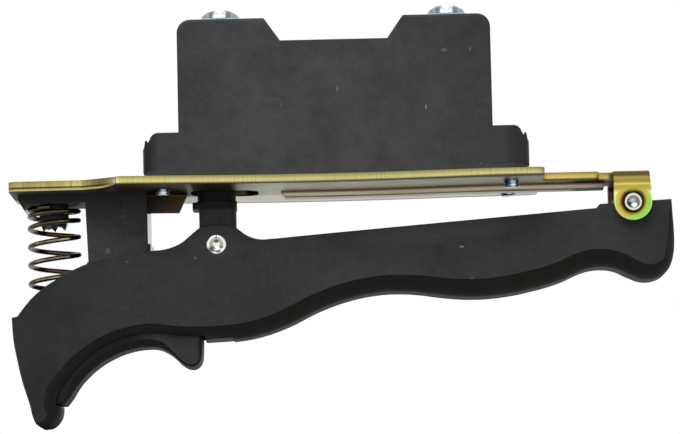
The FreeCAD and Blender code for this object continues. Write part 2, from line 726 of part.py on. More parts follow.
def bridge(label, side):
    """A loose contact bridge lying in its window of the carrier."""
    body = new_body(label)
    plan = new_sketch(body, label + "_plan", "XY_Plane", size(18.6))
    low = of("terminal_y") * side - of("terminal_strip") * 0.5
    high = of("terminal_y") * side + of("terminal_strip") * 0.5
    add_box(plan, -of("pin_x") - 6.0, -of("pin_x") + 6.6, low, high)
    pad(body, label + "_bar", plan, 1.2)
    return body


bridge("bridge_near", -1.0)
bridge("bridge_far", 1.0)
bridge_tips = new_body("bridge_tips", several=True)
button_plan = new_sketch(bridge_tips, "bridge_tip_plan", "XY_Plane", size(19.8))
for side in SIGNS:
    add_circle(button_plan, (TIP_LINE, of("terminal_y") * side), 2.0)
    add_circle(button_plan, (TIP_LOAD, of("terminal_y") * side), 2.6)
pad(bridge_tips, "bridge_tip_buttons", button_plan, 0.8)

coil("contact_spring_near", (-of("pin_x"), -of("terminal_y")), 4.6, 0.6, 14.8, 18.6, 3.0)
coil("contact_spring_far", (-of("pin_x"), of("terminal_y")), 4.6, 0.6, 14.8, 18.6, 3.0)
coil("plunger_spring", (-of("pin_x"), 0.0), 8.0, 0.9, 21.4, ceiling, 5.0)


# Trigger: a moulded shell open at the top, hinged at its rear end.
# The finger hook in front has no floor, because the lock lever fills it.
trigger = new_body("trigger")
side_view = new_sketch(trigger, "trigger_side", "XZ_Plane")
FRONT_TOP = (-81.0, -31.1)
BACK_START = (-16.7, -12.95)
STEP_LOW = (64.1, -7.1)
STEP_HIGH = (65.0, -6.1)
REAR_TOP = (82.9, -5.2)
add_curve(side_view, [
    FRONT_TOP, (-79.4, -30.0), (-77.2, -27.8), (-73.9, -24.5), (-68.9, -21.3), (-62.6, -18.3),
    (-56.5, -16.7), (-49.0, -15.6), (-43.0, -15.0), (-39.0, -13.6), (-36.2, -11.4), (-33.5, -9.5),
    (-29.8, -9.0), (-25.6, -9.8), (-22.6, -11.9), (-19.7, -12.9), BACK_START])
add_line(side_view, BACK_START, STEP_LOW)
add_line(side_view, STEP_LOW, STEP_HIGH)
add_line(side_view, STEP_HIGH, REAR_TOP)
add_curve(side_view, [
    REAR_TOP, (83.3, -14.0), (81.0, -22.4), (75.0, -24.3), (65.2, -21.1), (54.6, -24.3), (44.0, -27.0),
    (33.4, -27.8), (23.0, -26.8), (14.0, -26.0), (4.0, -27.1), (-8.8, -31.9), (-19.5, -36.0),
    (-31.0, -37.3), (-41.0, -36.8), (-50.0, -36.2), (-58.5, -39.3), (-65.2, -45.6), (-68.2, -52.5),
    (-69.6, -56.9), (-72.3, -58.3), (-74.9, -57.3), (-77.0, -51.5), (-79.5, -42.2), (-80.8, -35.0),
    FRONT_TOP])
block = pad(trigger, "trigger_block", side_view, of("trigger_wide"), both=True)
block.Refine = False
doc.recompute()


def is_belly_edge(edge):
    """The lower outside edges, from the rear end along the belly and round the hook."""
    spot = edge_points(edge)[2]
    rear = spot.x > 60.0 and spot.z < -8.0
    middle = -16.7 < spot.x <= 60.0 and spot.z < -18.0
    hook = spot.x <= -16.7 and spot.z < -31.2
    return lies_at(edge, y=9.7) and (rear or middle or hook)


chamfer(trigger, "belly_bevel", of("trigger_bevel"), is_belly_edge)

hollow = new_sketch(trigger, "trigger_hollow_side", "XZ_Plane")
HOLLOW_FRONT = [(-33.4, -34.4), (-33.4, -62.0), (-60.0, -62.0), (-60.0, -53.0), (-74.4, -53.0),
                (-74.7, -50.5), (-77.0, -41.0), (-78.3, -33.0), (-78.3, 6.0), (80.4, 6.0), (80.4, -19.0)]
for start, end in zip(HOLLOW_FRONT, HOLLOW_FRONT[1:]):
    add_line(hollow, start, end)
add_curve(hollow, [
    (80.4, -19.0), (75.0, -21.2), (65.2, -18.3), (54.0, -21.7), (33.4, -25.0), (14.0, -23.2), (-5.3, -27.4),
    (-19.5, -33.2), (-33.4, -34.4)])
pocket(trigger, "trigger_hollow", hollow, of("trigger_hollow"), both=True)
inside = of("trigger_hollow") + 0.4
ribs = new_sketch(trigger, "trigger_ribs_side", "XZ_Plane")
RIBS = ((-12.0, -33.0, -22.0), (6.0, -25.5, -17.0), (26.0, -26.0, -16.0), (46.0, -25.0, -15.0))
for rib_x, rib_low, rib_high in RIBS:
    add_box(ribs, rib_x - 0.7, rib_x + 0.7, rib_low, rib_high)
pad(trigger, "trigger_ribs", ribs, inside, both=True)
seats = new_sketch(trigger, "trigger_seats_side", "XZ_Plane")
add_box(seats, -78.7, -64.4, -of("seat_z") - 2.0, -of("seat_z"))
add_box(seats, -43.0, -37.0, -24.0, -22.0)
pad(trigger, "trigger_seats", seats, inside, both=True)
locator = new_sketch(trigger, "spring_locator_plan", "XY_Plane", -of("seat_z"))
add_circle(locator, (-of("spring_x"), 0.0), 8.4)
pad(trigger, "spring_locator", locator, 2.2)
hinge = new_sketch(trigger, "hinge_side", "XZ_Plane")
add_circle(hinge, (of("pivot_x"), -of("pivot_z")), 9.0)
pad(trigger, "hinge_barrel", hinge, of("trigger_wide"), both=True)
web = new_sketch(trigger, "hinge_web_side", "XZ_Plane")
add_box(web, of("pivot_x") - 1.0, of("pivot_x") + 1.0, -21.5, -9.5)
pad(trigger, "hinge_web", web, inside, both=True)
hinge_bore = new_sketch(trigger, "hinge_bore_side", "XZ_Plane")
add_circle(hinge_bore, (of("pivot_x"), -of("pivot_z")), of("pivot_dia") + 0.14)
pocket(trigger, "hinge_bore", hinge_bore, both=True)
for side, place in ((-1.0, "near"), (1.0, "far")):
    ring = new_sketch(trigger, "link_ring_" + place, "XZ_Plane", of("trigger_wide") * (-0.5 * side))
    add_circle(ring, (-of("pin_x"), -of("pin_z")), 7.8)
    add_circle(ring, (-of("pin_x"), -of("pin_z")), 6.6)
    pad(trigger, "link_ring_rim_" + place, ring, 0.25, back=side > 0)
link_bore = new_sketch(trigger, "link_bore_side", "XZ_Plane")
add_circle(link_bore, (-of("pin_x"), -of("pin_z")), of("pin_dia") + 0.02)
pocket(trigger, "link_bore", link_bore, both=True)
trunnion_holes = new_sketch(trigger, "trunnion_holes_side", "XZ_Plane")
add_circle(trunnion_holes, (-of("lever_pivot_x"), -of("lever_pivot_z")), 3.1)
pocket(trigger, "trunnion_holes", trunnion_holes, of("trigger_hollow") + 2.0, both=True)


def rivet(label, x, z, dia, near, far, head_dia, hole_dia):
    """A semi-tubular rivet across the part: hollow end in front, round head at the back."""
    body = new_body(label)
    shank = new_sketch(body, label + "_shank_side", "XZ_Plane", -size(far))
    add_circle(shank, (x, z), dia)
    pad(body, label + "_shank", shank, size(near) + size(far))
    head = new_sketch(body, label + "_head_side", "XZ_Plane", -size(far))
    add_circle(head, (x, z), head_dia)
    pad(body, label + "_head", head, 1.4, back=True)
    back = size(far).number + 1.4
    chamfer(body, label + "_crown", 0.8, lambda e: lies_at(e, y=back) and e.Closed)
    mouth = new_sketch(body, label + "_mouth_side", "XZ_Plane", size(near))
    add_circle(mouth, (x, z), hole_dia)
    pocket(body, label + "_mouth", mouth, 4.0)
    front = size(near).number
    chamfer(body, label + "_rim", 0.3,
           lambda e: lies_at(e, y=front) and edge_points(e)[0].y < 0 and e.Closed)
    return body


# Rivets: the hinge rivet holds the trigger in the clevis, the link rivet joins it to the plunger.
rivet("hinge_rivet", of("pivot_x"), -of("pivot_z"), of("pivot_dia"),
      of("ear_outside") + 0.25, of("ear_outside"), 7.4, 2.9)
rivet("link_rivet", -of("pin_x"), -of("pin_z"), of("pin_dia"),
      of("trigger_wide") * 0.5 + 0.45, of("trigger_wide") * 0.5 + 0.25, 6.2, 2.2)


# Lock lever: lies in the floor of the finger hook and turns on two moulded trunnions.
# Its nose stands under the lock post until the finger presses the lever in.
lever = new_body("lock_lever")
lever_side = new_sketch(lever, "lever_side", "XZ_Plane")
LEVER_OUTER = [
    (-68.4, -52.5), (-66.9, -50.7), (-65.1, -48.0), (-63.1, -45.7), (-60.6, -43.5), (-57.1, -41.3),
    (-52.5, -39.5), (-47.6, -38.8), (-45.0, -39.0), (-43.0, -39.9), (-41.1, -41.3), (-39.2, -43.1),
    (-37.1, -44.0), (-35.2, -43.5), (-34.2, -42.2), (-33.9, -40.6)]
LEVER_INNER = [
    (-53.0, -33.6), (-57.0, -35.4), (-61.5, -38.8), (-66.0, -43.4), (-69.5, -47.4), (-71.8, -47.9),
    (-73.5, -48.6), (-74.0, -50.2), (-73.2, -51.8), (-71.6, -52.5)]
add_curve(lever_side, LEVER_OUTER)
add_line(lever_side, LEVER_OUTER[-1], (-33.9, -31.5))
add_line(lever_side, (-33.9, -31.5), (-44.0, -31.5))
add_line(lever_side, (-44.0, -31.5), LEVER_INNER[0])
add_curve(lever_side, LEVER_INNER)
add_line(lever_side, LEVER_INNER[-1], LEVER_OUTER[0])
pad(lever, "lever_block", lever_side, of("lever_wide"), both=True)


def is_lever_edge(edge):
    """The outside edges under the finger, below a line that follows the middle of the lever."""
    spot = edge_points(edge)[2]
    middle = -38.3 + 0.9 * min(spot.x + 57.0, 0.0)
    return lies_at(edge, y=7.0) and spot.x > -68.5 and spot.z < middle


chamfer(lever, "lever_bevel", of("lever_bevel"), is_lever_edge)
nose = new_sketch(lever, "nose_side", "XZ_Plane")
add_polygon(nose, [
    (-56.6, -37.0), (-53.6, -37.0), (-53.6, -of("nose_top")), (-56.6, -of("nose_top"))])
pad(lever, "nose", nose, of("nose_wide"), both=True)
trunnions = new_sketch(lever, "trunnion_side", "XZ_Plane")
add_circle(trunnions, (-of("lever_pivot_x"), -of("lever_pivot_z")), 3.0)
pad(lever, "trunnions", trunnions, of("trigger_hollow") + 1.6, both=True)
coil("lever_spring", (size(-40.0), size(0.0)), 5.0, 0.7, -31.5, -24.0, 4.0)


# Lock post: moulded block under the front tongue, with an arm that holds the return spring.
post = new_body("lock_post")
post_side = new_sketch(post, "post_side", "XZ_Plane")
add_polygon(post_side, [
    (-79.3, 0.0),
    (-79.3, -1.6),
    (-77.9, -4.0),
    (-77.7, -4.0),
    (-77.7, -of("arm_thick")),
    (-of("post_front"), -of("arm_thick")),
    (-of("post_front"), -of("post_low")),
    (-of("post_rear"), -of("post_low")),
    (-of("post_rear"), 0.0),
])
pad(post, "post_block", post_side, of("post_half") * 2.0, both=True)
perch = new_sketch(post, "post_boss_plan", "XY_Plane", -of("arm_thick"))
add_circle(perch, (-of("spring_x"), 0.0), 7.4)
pad(post, "post_boss", perch, 4.9, back=True)
chamfer(post, "post_boss_end", 1.2, lambda e: lies_at(e, z=-7.5))
fillet(post, "post_edges", 0.5, lambda e: lies_at(e, y=7.0) and e.Length > 15.0 and
       (lies_at(e, x=-62.6) or lies_at(e, x=-46.5)))
lugs = new_sketch(post, "post_lugs_side", "XZ_Plane")
add_box(lugs, -of("post_rear") - 0.4, -of("post_rear") + 0.6, -15.2, -13.2)
add_box(lugs, -of("post_front") - 0.5, -of("post_front") + 0.4, -19.4, -17.4)
pad(post, "post_lugs", lugs, 12.0, both=True)
flap_slot = new_sketch(post, "flap_slot_plan", "XY_Plane")
add_box(flap_slot, -of("tab_front") - 0.3, -of("post_rear") + 1.0, -2.0, 1.1)
pocket(post, "flap_slot", flap_slot, of("tab_low") + 0.4)
nose_way = new_sketch(post, "nose_way_plan", "XY_Plane", -of("post_low"))
add_box(nose_way, -61.4, -55.0, -4.6, 4.6)
pocket(post, "nose_way", nose_way, 8.6, back=True)
bores = new_sketch(post, "post_bore_plan", "XY_Plane")
for spot in POST_SCREWS:
    add_circle(bores, (spot, 0.0), 3.04)
pocket(post, "post_bores", bores, 6.4)

# Countersunk screws, flush with the top of the plate, hold the lock post.
post_screws = new_body("post_screws", several=True)
core = new_sketch(post_screws, "post_screw_plan", "XY_Plane", size(-6.2))
cone = new_sketch(post_screws, "post_screw_heads", "XY_Plane", of("plate_thick"))
cut = new_sketch(post_screws, "post_screw_slots", "XY_Plane", of("plate_thick"))
for spot in POST_SCREWS:
    add_circle(core, (spot, 0.0), 3.0)
    add_circle(cone, (spot, 0.0), 6.1)
    add_box(cut, spot - 2.2, spot + 2.2, -0.5, 0.5)
pad(post_screws, "post_screw_cores", core, of("plate_thick") + 6.2)
heads = pad(post_screws, "post_screw_cones", cone, 1.5, back=True)
bind(heads, "TaperAngle", -45.0)
doc.recompute()
pocket(post_screws, "post_screw_slot", cut, 0.8)

# Return spring of the trigger, between the arm and the seat in the hook.
coil("trigger_spring", (-of("spring_x"), 0.0), of("spring_dia"), of("spring_wire"),
     -of("seat_z"), -of("arm_thick"), 6.0)


doc.recompute()
os.makedirs("parts", exist_ok=True)
for item in doc.Objects:
    if "Invalid" in item.State or "Error" in item.State:
        raise RuntimeError("%s has not rebuilt" % item.Name)
for body in [item for item in doc.Objects if item.TypeId in ("PartDesign::Body", "Part::Feature")]:
    if not body.Shape.isValid() or body.Shape.Volume < 0.1:
        raise RuntimeError("%s is not a sound solid" % body.Label)
    body.Shape.exportStep("parts/%s.step" % body.Label)
    box = body.Shape.BoundBox
    print("%-20s %2d solid, %9.1f mm3, X %.1f..%.1f Y %.1f..%.1f Z %.1f..%.1f" % (
        body.Label, len(body.Shape.Solids), body.Shape.Volume,
        box.XMin, box.XMax, box.YMin, box.YMax, box.ZMin, box.ZMax))
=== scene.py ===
import math

import bmesh
import bpy
from mathutils import Matrix, Vector


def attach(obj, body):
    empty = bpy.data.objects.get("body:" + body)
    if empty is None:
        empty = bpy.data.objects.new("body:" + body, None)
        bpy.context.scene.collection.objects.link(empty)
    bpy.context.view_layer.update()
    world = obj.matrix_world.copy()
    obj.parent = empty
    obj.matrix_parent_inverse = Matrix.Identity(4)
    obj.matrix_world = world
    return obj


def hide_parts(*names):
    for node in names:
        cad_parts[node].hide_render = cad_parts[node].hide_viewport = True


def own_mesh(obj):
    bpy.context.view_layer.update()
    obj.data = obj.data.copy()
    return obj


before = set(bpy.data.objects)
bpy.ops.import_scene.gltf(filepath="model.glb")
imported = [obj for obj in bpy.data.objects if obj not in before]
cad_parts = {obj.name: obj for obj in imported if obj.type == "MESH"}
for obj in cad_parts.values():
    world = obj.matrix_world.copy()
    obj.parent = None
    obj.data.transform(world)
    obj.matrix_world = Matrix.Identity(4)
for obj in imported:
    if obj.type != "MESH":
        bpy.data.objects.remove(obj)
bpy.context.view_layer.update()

scene = bpy.context.scene
scene.view_settings.view_transform = "Standard"


# Studio. The switch is shown against plain white, lit by a large soft box above and in front of it.
# The pale floor carries the shadow; from below it is clear, because the camera looks up by six degrees.

class Signal:
    """One output of a shader node: arithmetic on it adds Math nodes, and make() adds any other node."""

    def __init__(self, socket):
        self.socket = socket

    def make(self, kind, settings=None, inputs=None, output=0):
        """Add a node with these settings and inputs, and give one of its outputs."""
        tree = self.socket.id_data
        node = tree.nodes.new(kind)
        for key, value in (settings or {}).items():
            if key == "stops":
                ramp = node.color_ramp.elements
                while len(ramp) < len(value):
                    ramp.new(0.5)
                for stop, (where, colour) in zip(ramp, value):
                    stop.position = where
                    stop.color = (*colour, 1.0)
            else:
                setattr(node, key, value)
        for key, value in (inputs or {}).items():
            if isinstance(value, Signal):
                tree.links.new(value.socket, node.inputs[key])
            else:
                node.inputs[key].default_value = value
        return Signal(node.outputs[output])

    def math(self, operation, first, second=0.0):
        """Add a Math node."""
        return self.make("ShaderNodeMath", {"operation": operation}, {0: first, 1: second})

    def __add__(self, other):
        return self.math("ADD", self, other)

    def __radd__(self, other):
        return self.math("ADD", other, self)

    def __sub__(self, other):
        return self.math("SUBTRACT", self, other)

    def __rsub__(self, other):
        return self.math("SUBTRACT", other, self)

    def __mul__(self, other):
        return self.math("MULTIPLY", self, other)

    def __rmul__(self, other):
        return self.math("MULTIPLY", other, self)

    def __truediv__(self, other):
        return self.math("DIVIDE", self, other)

    def __rtruediv__(self, other):
        return self.math("DIVIDE", other, self)

    def axis(self, number):
        """One of the three components of a vector."""
        return self.make("ShaderNodeSeparateXYZ", {}, {"Vector": self}, number)

    def noise(self, scale, detail=3.0, roughness=0.55, stretch=(1.0, 1.0, 1.0), shift=(0.0, 0.0, 0.0)):
        """Noise in cycles per metre, stretched along the piece."""
        place = self.make("ShaderNodeMapping", {}, {"Vector": self, "Scale": stretch, "Location": shift})
        return place.make("ShaderNodeTexNoise", {}, {
            "Vector": place, "Scale": scale, "Detail": detail, "Roughness": roughness})

    def spot(self, centre, reach, turn=0.0):
        """One at a place on the piece, falling to zero at the reach along each axis."""
        place = self.make("ShaderNodeMapping", {"vector_type": "TEXTURE"}, {
            "Vector": self, "Location": centre, "Rotation": (0.0, turn, 0.0), "Scale": reach})
        away = place.make("ShaderNodeVectorMath", {"operation": "LENGTH"}, {0: place}, 1)
        return away.below(0.45, 1.0)

    def ramp(self, *stops):
        """A colour ramp over this value."""
        return self.make("ShaderNodeValToRGB", {"stops": stops}, {"Fac": self})

    def between(self, low, high):
        """Zero below low, one above high."""
        return self.make("ShaderNodeMapRange", {"clamp": True}, {
            "Value": self, "From Min": low, "From Max": high, "To Min": 0.0, "To Max": 1.0})

    def below(self, low, high):
        """One below low, zero above high."""
        return 1.0 - self.between(low, high)

    def band(self, start, full, fading, gone):
        """One from full to fading, zero outside of start and gone."""
        return self.between(start, full) * self.below(fading, gone)

    def most(self, other):
        """The larger of two values."""
        return self.math("MAXIMUM", self, other)

    def facing(self):
        """The normal that goes with this place, in the piece's own axes."""
        return Signal(self.socket.node.outputs["Normal"])

    def mix(self, first, second):
        """Two colours mixed by this value."""
        return self.make("ShaderNodeMix", {"data_type": "RGBA"}, {0: self, 6: first, 7: second}, 2)


def start_finish(name):
    """An empty material: its shader and the place on the piece that its patterns read."""
    material = bpy.data.materials.new(name)
    material.use_nodes = True
    tree = material.node_tree
    shader = tree.nodes["Principled BSDF"]
    place = Signal(tree.nodes.new("ShaderNodeTexCoord").outputs["Object"])
    return material, shader, place


def feed(shader, name, signal):
    """Link a signal to one input of the shader."""
    shader.id_data.links.new(signal.socket, shader.inputs[name])


def roughen(shader, height, distance, strength=1.0):
    """A bump of this height signal on the shader's normal."""
    bump = height.make("ShaderNodeBump", {}, {"Height": height, "Distance": distance, "Strength": strength})
    feed(shader, "Normal", bump)


SENSOR = 36.0
LENS = 201.2
EYE = (0.000614, -0.9444, -0.1095)
LOOK = Vector((0.0, 0.99415, 0.1080)).normalized()
ROLL = math.radians(1.29)
camera_data = bpy.data.cameras.new("camera")
camera_data.sensor_width = SENSOR
camera_data.lens = LENS
camera = bpy.data.objects.new("camera", camera_data)
scene.collection.objects.link(camera)
scene.camera = camera
sideways = Vector((1.0, 0.0, 0.0))
upright = sideways.cross(LOOK)
right = sideways * math.cos(ROLL) - upright * math.sin(ROLL)
up = upright * math.cos(ROLL) + sideways * math.sin(ROLL)
turn = Matrix((right, up, -LOOK)).transposed().to_4x4()
camera.matrix_world = Matrix.Translation(EYE) @ turn

FRONT_GLOW = 1.1
TOP_GLOW = 0.35
BACK_GLOW = 0.1
world = bpy.data.worlds.new("studio")
scene.world = world
world.use_nodes = True
sky = world.node_tree.nodes["Background"]
rays = world.node_tree.nodes.new("ShaderNodeLightPath")
seen = Signal(rays.outputs["Is Camera Ray"]) + Signal(rays.outputs["Is Glossy Ray"])
seen = seen + Signal(rays.outputs["Is Transmission Ray"])
tent = Signal(world.node_tree.nodes.new("ShaderNodeTexCoord").outputs["Generated"])
front = (0.0 - tent.axis(1)).between(-0.15, 0.35)
height = tent.axis(2)
glow = front * height.between(-0.1, 0.05) * FRONT_GLOW + height.between(0.2, 0.9) * TOP_GLOW + BACK_GLOW
sky.inputs["Color"].default_value = (1.0, 1.0, 1.0, 1.0)
feed(sky, "Strength", seen + (1.0 - seen) * glow)


def lamp(name, place, aim, wide, high, power):
    """A soft box lamp facing a point."""
    data = bpy.data.lights.new(name, "AREA")
    data.shape = "RECTANGLE"
    data.size = wide
    data.size_y = high
    data.energy = power
    thing = bpy.data.objects.new(name, data)
    scene.collection.objects.link(thing)
    thing.location = place
    thing.rotation_euler = (Vector(aim) - Vector(place)).to_track_quat("-Z", "Y").to_euler()


lamp("key", place=(-0.15, -0.75, 0.85), aim=(0.0, 0.0, 0.0), wide=0.8, high=0.5, power=9.0)

FLOOR_HALF = 6.0
FLOOR_LEVEL = -0.0585
FLOOR_FADE = (0.22, 0.75)
floor_mesh = bpy.data.meshes.new("floor")
bm = bmesh.new()
bmesh.ops.create_grid(bm, x_segments=2, y_segments=2, size=FLOOR_HALF)
bmesh.ops.translate(bm, verts=bm.verts, vec=(0.0, 0.0, FLOOR_LEVEL))
bm.to_mesh(floor_mesh)
bm.free()
floor = bpy.data.objects.new("floor", floor_mesh)
scene.collection.objects.link(floor)
floor_finish, floor_shader, floor_place = start_finish("floor_card")
floor_rays = floor_finish.node_tree.nodes.new("ShaderNodeLightPath")
pale = floor_place.noise(3.0).ramp((0.3, (0.83, 0.83, 0.83)), (0.7, (0.86, 0.86, 0.86)))
shown = Signal(floor_rays.outputs["Is Camera Ray"]) + Signal(floor_rays.outputs["Is Glossy Ray"])
feed(floor_shader, "Base Color", shown.mix((0.10, 0.115, 0.09, 1.0), pale))
floor_shader.inputs["Roughness"].default_value = 0.9
under = Signal(floor_finish.node_tree.nodes.new("ShaderNodeNewGeometry").outputs["Backfacing"])
clear = under.make("ShaderNodeBsdfTransparent")
away = floor_place.make("ShaderNodeVectorMath", {"operation": "LENGTH"}, {0: floor_place}, 1)
unseen = under.most(away.between(*FLOOR_FADE) * Signal(floor_rays.outputs["Is Camera Ray"]))
card = under.make("ShaderNodeMixShader", {}, {0: unseen, 1: Signal(floor_shader.outputs[0]), 2: clear})
feed(floor_finish.node_tree.nodes["Material Output"], "Surface", card)
floor_mesh.materials.append(floor_finish)


# Mounting plate. Two-millimetre steel sheet, blanked, beaded, bent, zinc plated and passivated yellow.
# Its screws have bowed it, and the punch has left a burr below the front tongue. The thin film is straw on
# the cut edge, drifts from grey-green to brown on the flat and goes from gold to green on the ear.

def merged_copy(node, round_edges, segments=2, sharp=28.0):
    """A copy of a CAD solid with its facets merged into whole faces and its edges rounded."""
    bm = bmesh.new()
    bm.from_mesh(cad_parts[node].data)
    bmesh.ops.remove_doubles(bm, verts=bm.verts, dist=0.000004)
    bmesh.ops.dissolve_limit(
        bm, angle_limit=math.radians(0.6), verts=bm.verts, edges=bm.edges, delimit=set())
    edges = [edge for edge in bm.edges
             if len(edge.link_faces) == 2 and edge.calc_face_angle(0.0) > math.radians(sharp)]
    bmesh.ops.bevel(
        bm, geom=edges, offset=round_edges, offset_type="OFFSET", affect="EDGES", segments=segments,
        profile=0.5, material=-1, clamp_overlap=True)
    return bm


def stand_for(bm, name, finish, body, slot, *nodes, angle=32.0):
    """Turn a bmesh into a piece that replaces CAD nodes and rides with their body."""
    mesh = bpy.data.meshes.new(name)
    for face in bm.faces:
        face.smooth = True
        face.material_index = 0
    bm.to_mesh(mesh)
    bm.free()
    mesh.set_sharp_from_angle(angle=math.radians(angle))
    mesh.materials.append(finish)
    piece = bpy.data.objects.new(name, mesh)
    scene.collection.objects.link(piece)
    even = piece.modifiers.new("flat_faces", "WEIGHTED_NORMAL")
    even.keep_sharp = True
    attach(piece, body)
    if nodes:
        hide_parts(*nodes)
    return piece


SHEET = 0.002
HINGE_X = 0.0731
HINGE_Z = -0.006
SAG = 0.00048
SAG_FRONT = -0.050
SAG_REAR = 0.040
BURR = 0.0004
BURR_FULL = -0.0574
BURR_NONE = -0.0544


def sliced(bm, front, rear, count):
    """Cut a mesh across into equal lengths, so that it can be bent."""
    for number in range(1, count):
        bmesh.ops.bisect_plane(
            bm, geom=[*bm.verts, *bm.edges, *bm.faces], dist=0.000001, plane_no=(1.0, 0.0, 0.0),
            plane_co=(front + (rear - front) * number / count, 0.0, 0.0))


def bowed(bm, top):
    """Bow all below a level downwards: the screws at both ends have pulled the plate out of flat."""
    sliced(bm, SAG_FRONT, SAG_REAR, count=12)
    for vertex in bm.verts:
        share = min(1.0, max(0.0, (vertex.co.x - SAG_FRONT) / (SAG_REAR - SAG_FRONT)))
        if vertex.co.z < top:
            vertex.co.z -= SAG * math.sin(math.pi * share)


def burred(bm, low, high):
    """Lower all of the front tongue between two levels: the punch has dragged its rim down."""
    for vertex in bm.verts:
        if low < vertex.co.z < high and vertex.co.x < BURR_NONE:
            vertex.co.z -= BURR * min(1.0, (BURR_NONE - vertex.co.x) / (BURR_NONE - BURR_FULL))


def from_axis(place, x, z):
    """The distance from a line that runs across the switch."""
    flat = place.make("ShaderNodeMapping", {}, {"Vector": place, "Scale": (1.0, 0.0, 1.0)})
    return flat.make("ShaderNodeVectorMath", {"operation": "DISTANCE"}, {0: flat, 1: (x, 0.0, z)}, 1)


yellow_zinc, shader, place = start_finish("yellow_zinc")
facing = place.facing()
flatness = facing.math("ABSOLUTE", facing.axis(2))
along = place.axis(0)
across = place.math("ABSOLUTE", place.axis(1))
level = place.axis(2) + along.math("SINE", along.between(SAG_FRONT, SAG_REAR) * math.pi) * SAG
on_burr = along.below(BURR_FULL, BURR_NONE)
burr = on_burr * BURR
rise = (level + burr) / (burr + SHEET)
down = facing.axis(2).below(-0.6, 0.0)
far_side = place.axis(1).between(0.003, 0.008)
drift = place.noise(30.0, 2.0, 0.5, (1.0, 1.8, 2.5))
stain = place.noise(170.0, 4.0, 0.6, (1.0, 1.5, 2.0), (0.3, 0.1, 0.7))

# The flat sheet: browner to the rear, paler on the far side and darkened by painted shade at the button, with
# a bead in it whose flanks are lightened by painted light and whose creases carry lines of painted shade.
REAR_BROWN = (0.034, 0.046)
FAR_PALE = (-0.040, -0.030)
BUTTON_SHADE = (-0.036, -0.016)
BEAD_RUN = (-0.0145, -0.0130, 0.0665, 0.0675)
BEAD_SIDES = (0.0029, 0.0032)
sheet_tint = (drift * 0.7 + stain * 0.35).ramp(
    (0.36, (0.13, 0.10, 0.055)), (0.45, (0.25, 0.23, 0.13)),
    (0.56, (0.30, 0.31, 0.19)), (0.68, (0.34, 0.27, 0.20)))
sheet_tint = (along.between(*REAR_BROWN) * 0.6).mix(sheet_tint, (0.17, 0.115, 0.085, 1.0))
sheet_tint = (far_side * along.between(*FAR_PALE) * 0.7).mix(sheet_tint, (0.66, 0.63, 0.54, 1.0))
shade_by_button = along.below(*BUTTON_SHADE) * (1.0 - far_side) * down
sheet_tint = (shade_by_button * 0.8).mix(sheet_tint, (0.085, 0.060, 0.042, 1.0))
bead = along.band(*BEAD_RUN) * across.below(*BEAD_SIDES)
flank = bead * level.below(-0.0003, -0.00005) * flatness.below(0.8, 0.97)
# Painted light: the bead's flanks get a lighter tint.
flank_lightened = (stain * 0.5 + drift * 0.5).ramp((0.4, (0.38, 0.30, 0.215)), (0.6, (0.46, 0.40, 0.28)))
# Painted shade along the bead's creases.
bead_crease_shade = level.between(-0.00050, -0.00036) + level.below(-0.00124, -0.00104)
sheet_tint = flank.mix(sheet_tint, flank_lightened)
sheet_tint = (bead_crease_shade * flank * (stain * 0.5 + 0.55)).mix(sheet_tint, (0.12, 0.070, 0.040, 1.0))

# The cut edge: straw with shear streaks, whose bright lumps are partly painted glints; painted shade darkens
# its rims and its upper half and draws a line on the tongue's burr, with a pale painted-light line under it.
EDGE_RUN = (-0.081, 0.067)
TONGUE_RUN = (-0.058, -0.054)
# Toned stop by stop along the edge: the near-white stops where the sweep meets the main edge are a painted
# highlight, and the dark stop where the rear tongue starts is painted shadow.
edge_tint = along.between(*EDGE_RUN).ramp(
    (0.000, (0.10, 0.07, 0.03)), (0.006, (0.45, 0.41, 0.10)), (0.030, (0.36, 0.32, 0.075)),
    (0.088, (0.42, 0.38, 0.10)), (0.113, (0.62, 0.58, 0.18)), (0.133, (0.28, 0.22, 0.055)),
    (0.158, (0.12, 0.09, 0.024)), (0.178, (0.30, 0.25, 0.07)), (0.181, (0.98, 0.94, 0.80)),
    (0.184, (0.90, 0.86, 0.60)), (0.188, (0.58, 0.535, 0.15)), (0.318, (0.58, 0.525, 0.195)),
    (0.564, (0.47, 0.425, 0.155)), (0.777, (0.51, 0.49, 0.185)), (0.885, (0.56, 0.51, 0.20)),
    (0.8912, (0.14, 0.10, 0.045)), (0.896, (0.70, 0.46, 0.12)), (0.932, (0.66, 0.47, 0.09)),
    (0.980, (0.52, 0.38, 0.07)))
shear_streaks_and_glints = place.noise(1900.0, 3.0, 0.6, (1.0, 0.05, 0.04))
tongue = along.below(*TONGUE_RUN)
# Over the streaks: a faint painted highlight along the middle of the main edge, then painted shade on the
# lower rim, the upper half and the burr line, and the pale painted-light line under it.
for share, colour in (
        (shear_streaks_and_glints.between(0.54, 0.80) * 0.7, (0.70, 0.66, 0.33, 1.0)),
        ((0.47 - shear_streaks_and_glints).between(0.0, 0.2) * 0.6, (0.22, 0.17, 0.045, 1.0)),
        (rise.band(0.30, 0.45, 0.70, 0.88) * (1.0 - tongue) * 0.2, (0.66, 0.57, 0.15, 1.0)),
        (rise.below(0.08, 0.30) * 0.9, (0.15, 0.10, 0.03, 1.0)),
        (rise.between(0.42, 0.95) * (0.68 - tongue * 0.25), (0.10, 0.085, 0.060, 1.0)),
        (rise.band(0.18, 0.30, 0.36, 0.46) * tongue, (0.020, 0.011, 0.002, 1.0)),
        (rise.below(0.12, 0.22) * tongue * 0.85, (0.50, 0.42, 0.14, 1.0))):
    edge_tint = share.mix(edge_tint, colour)
side_on = flatness.below(0.35, 0.8) * (1.0 - flank)
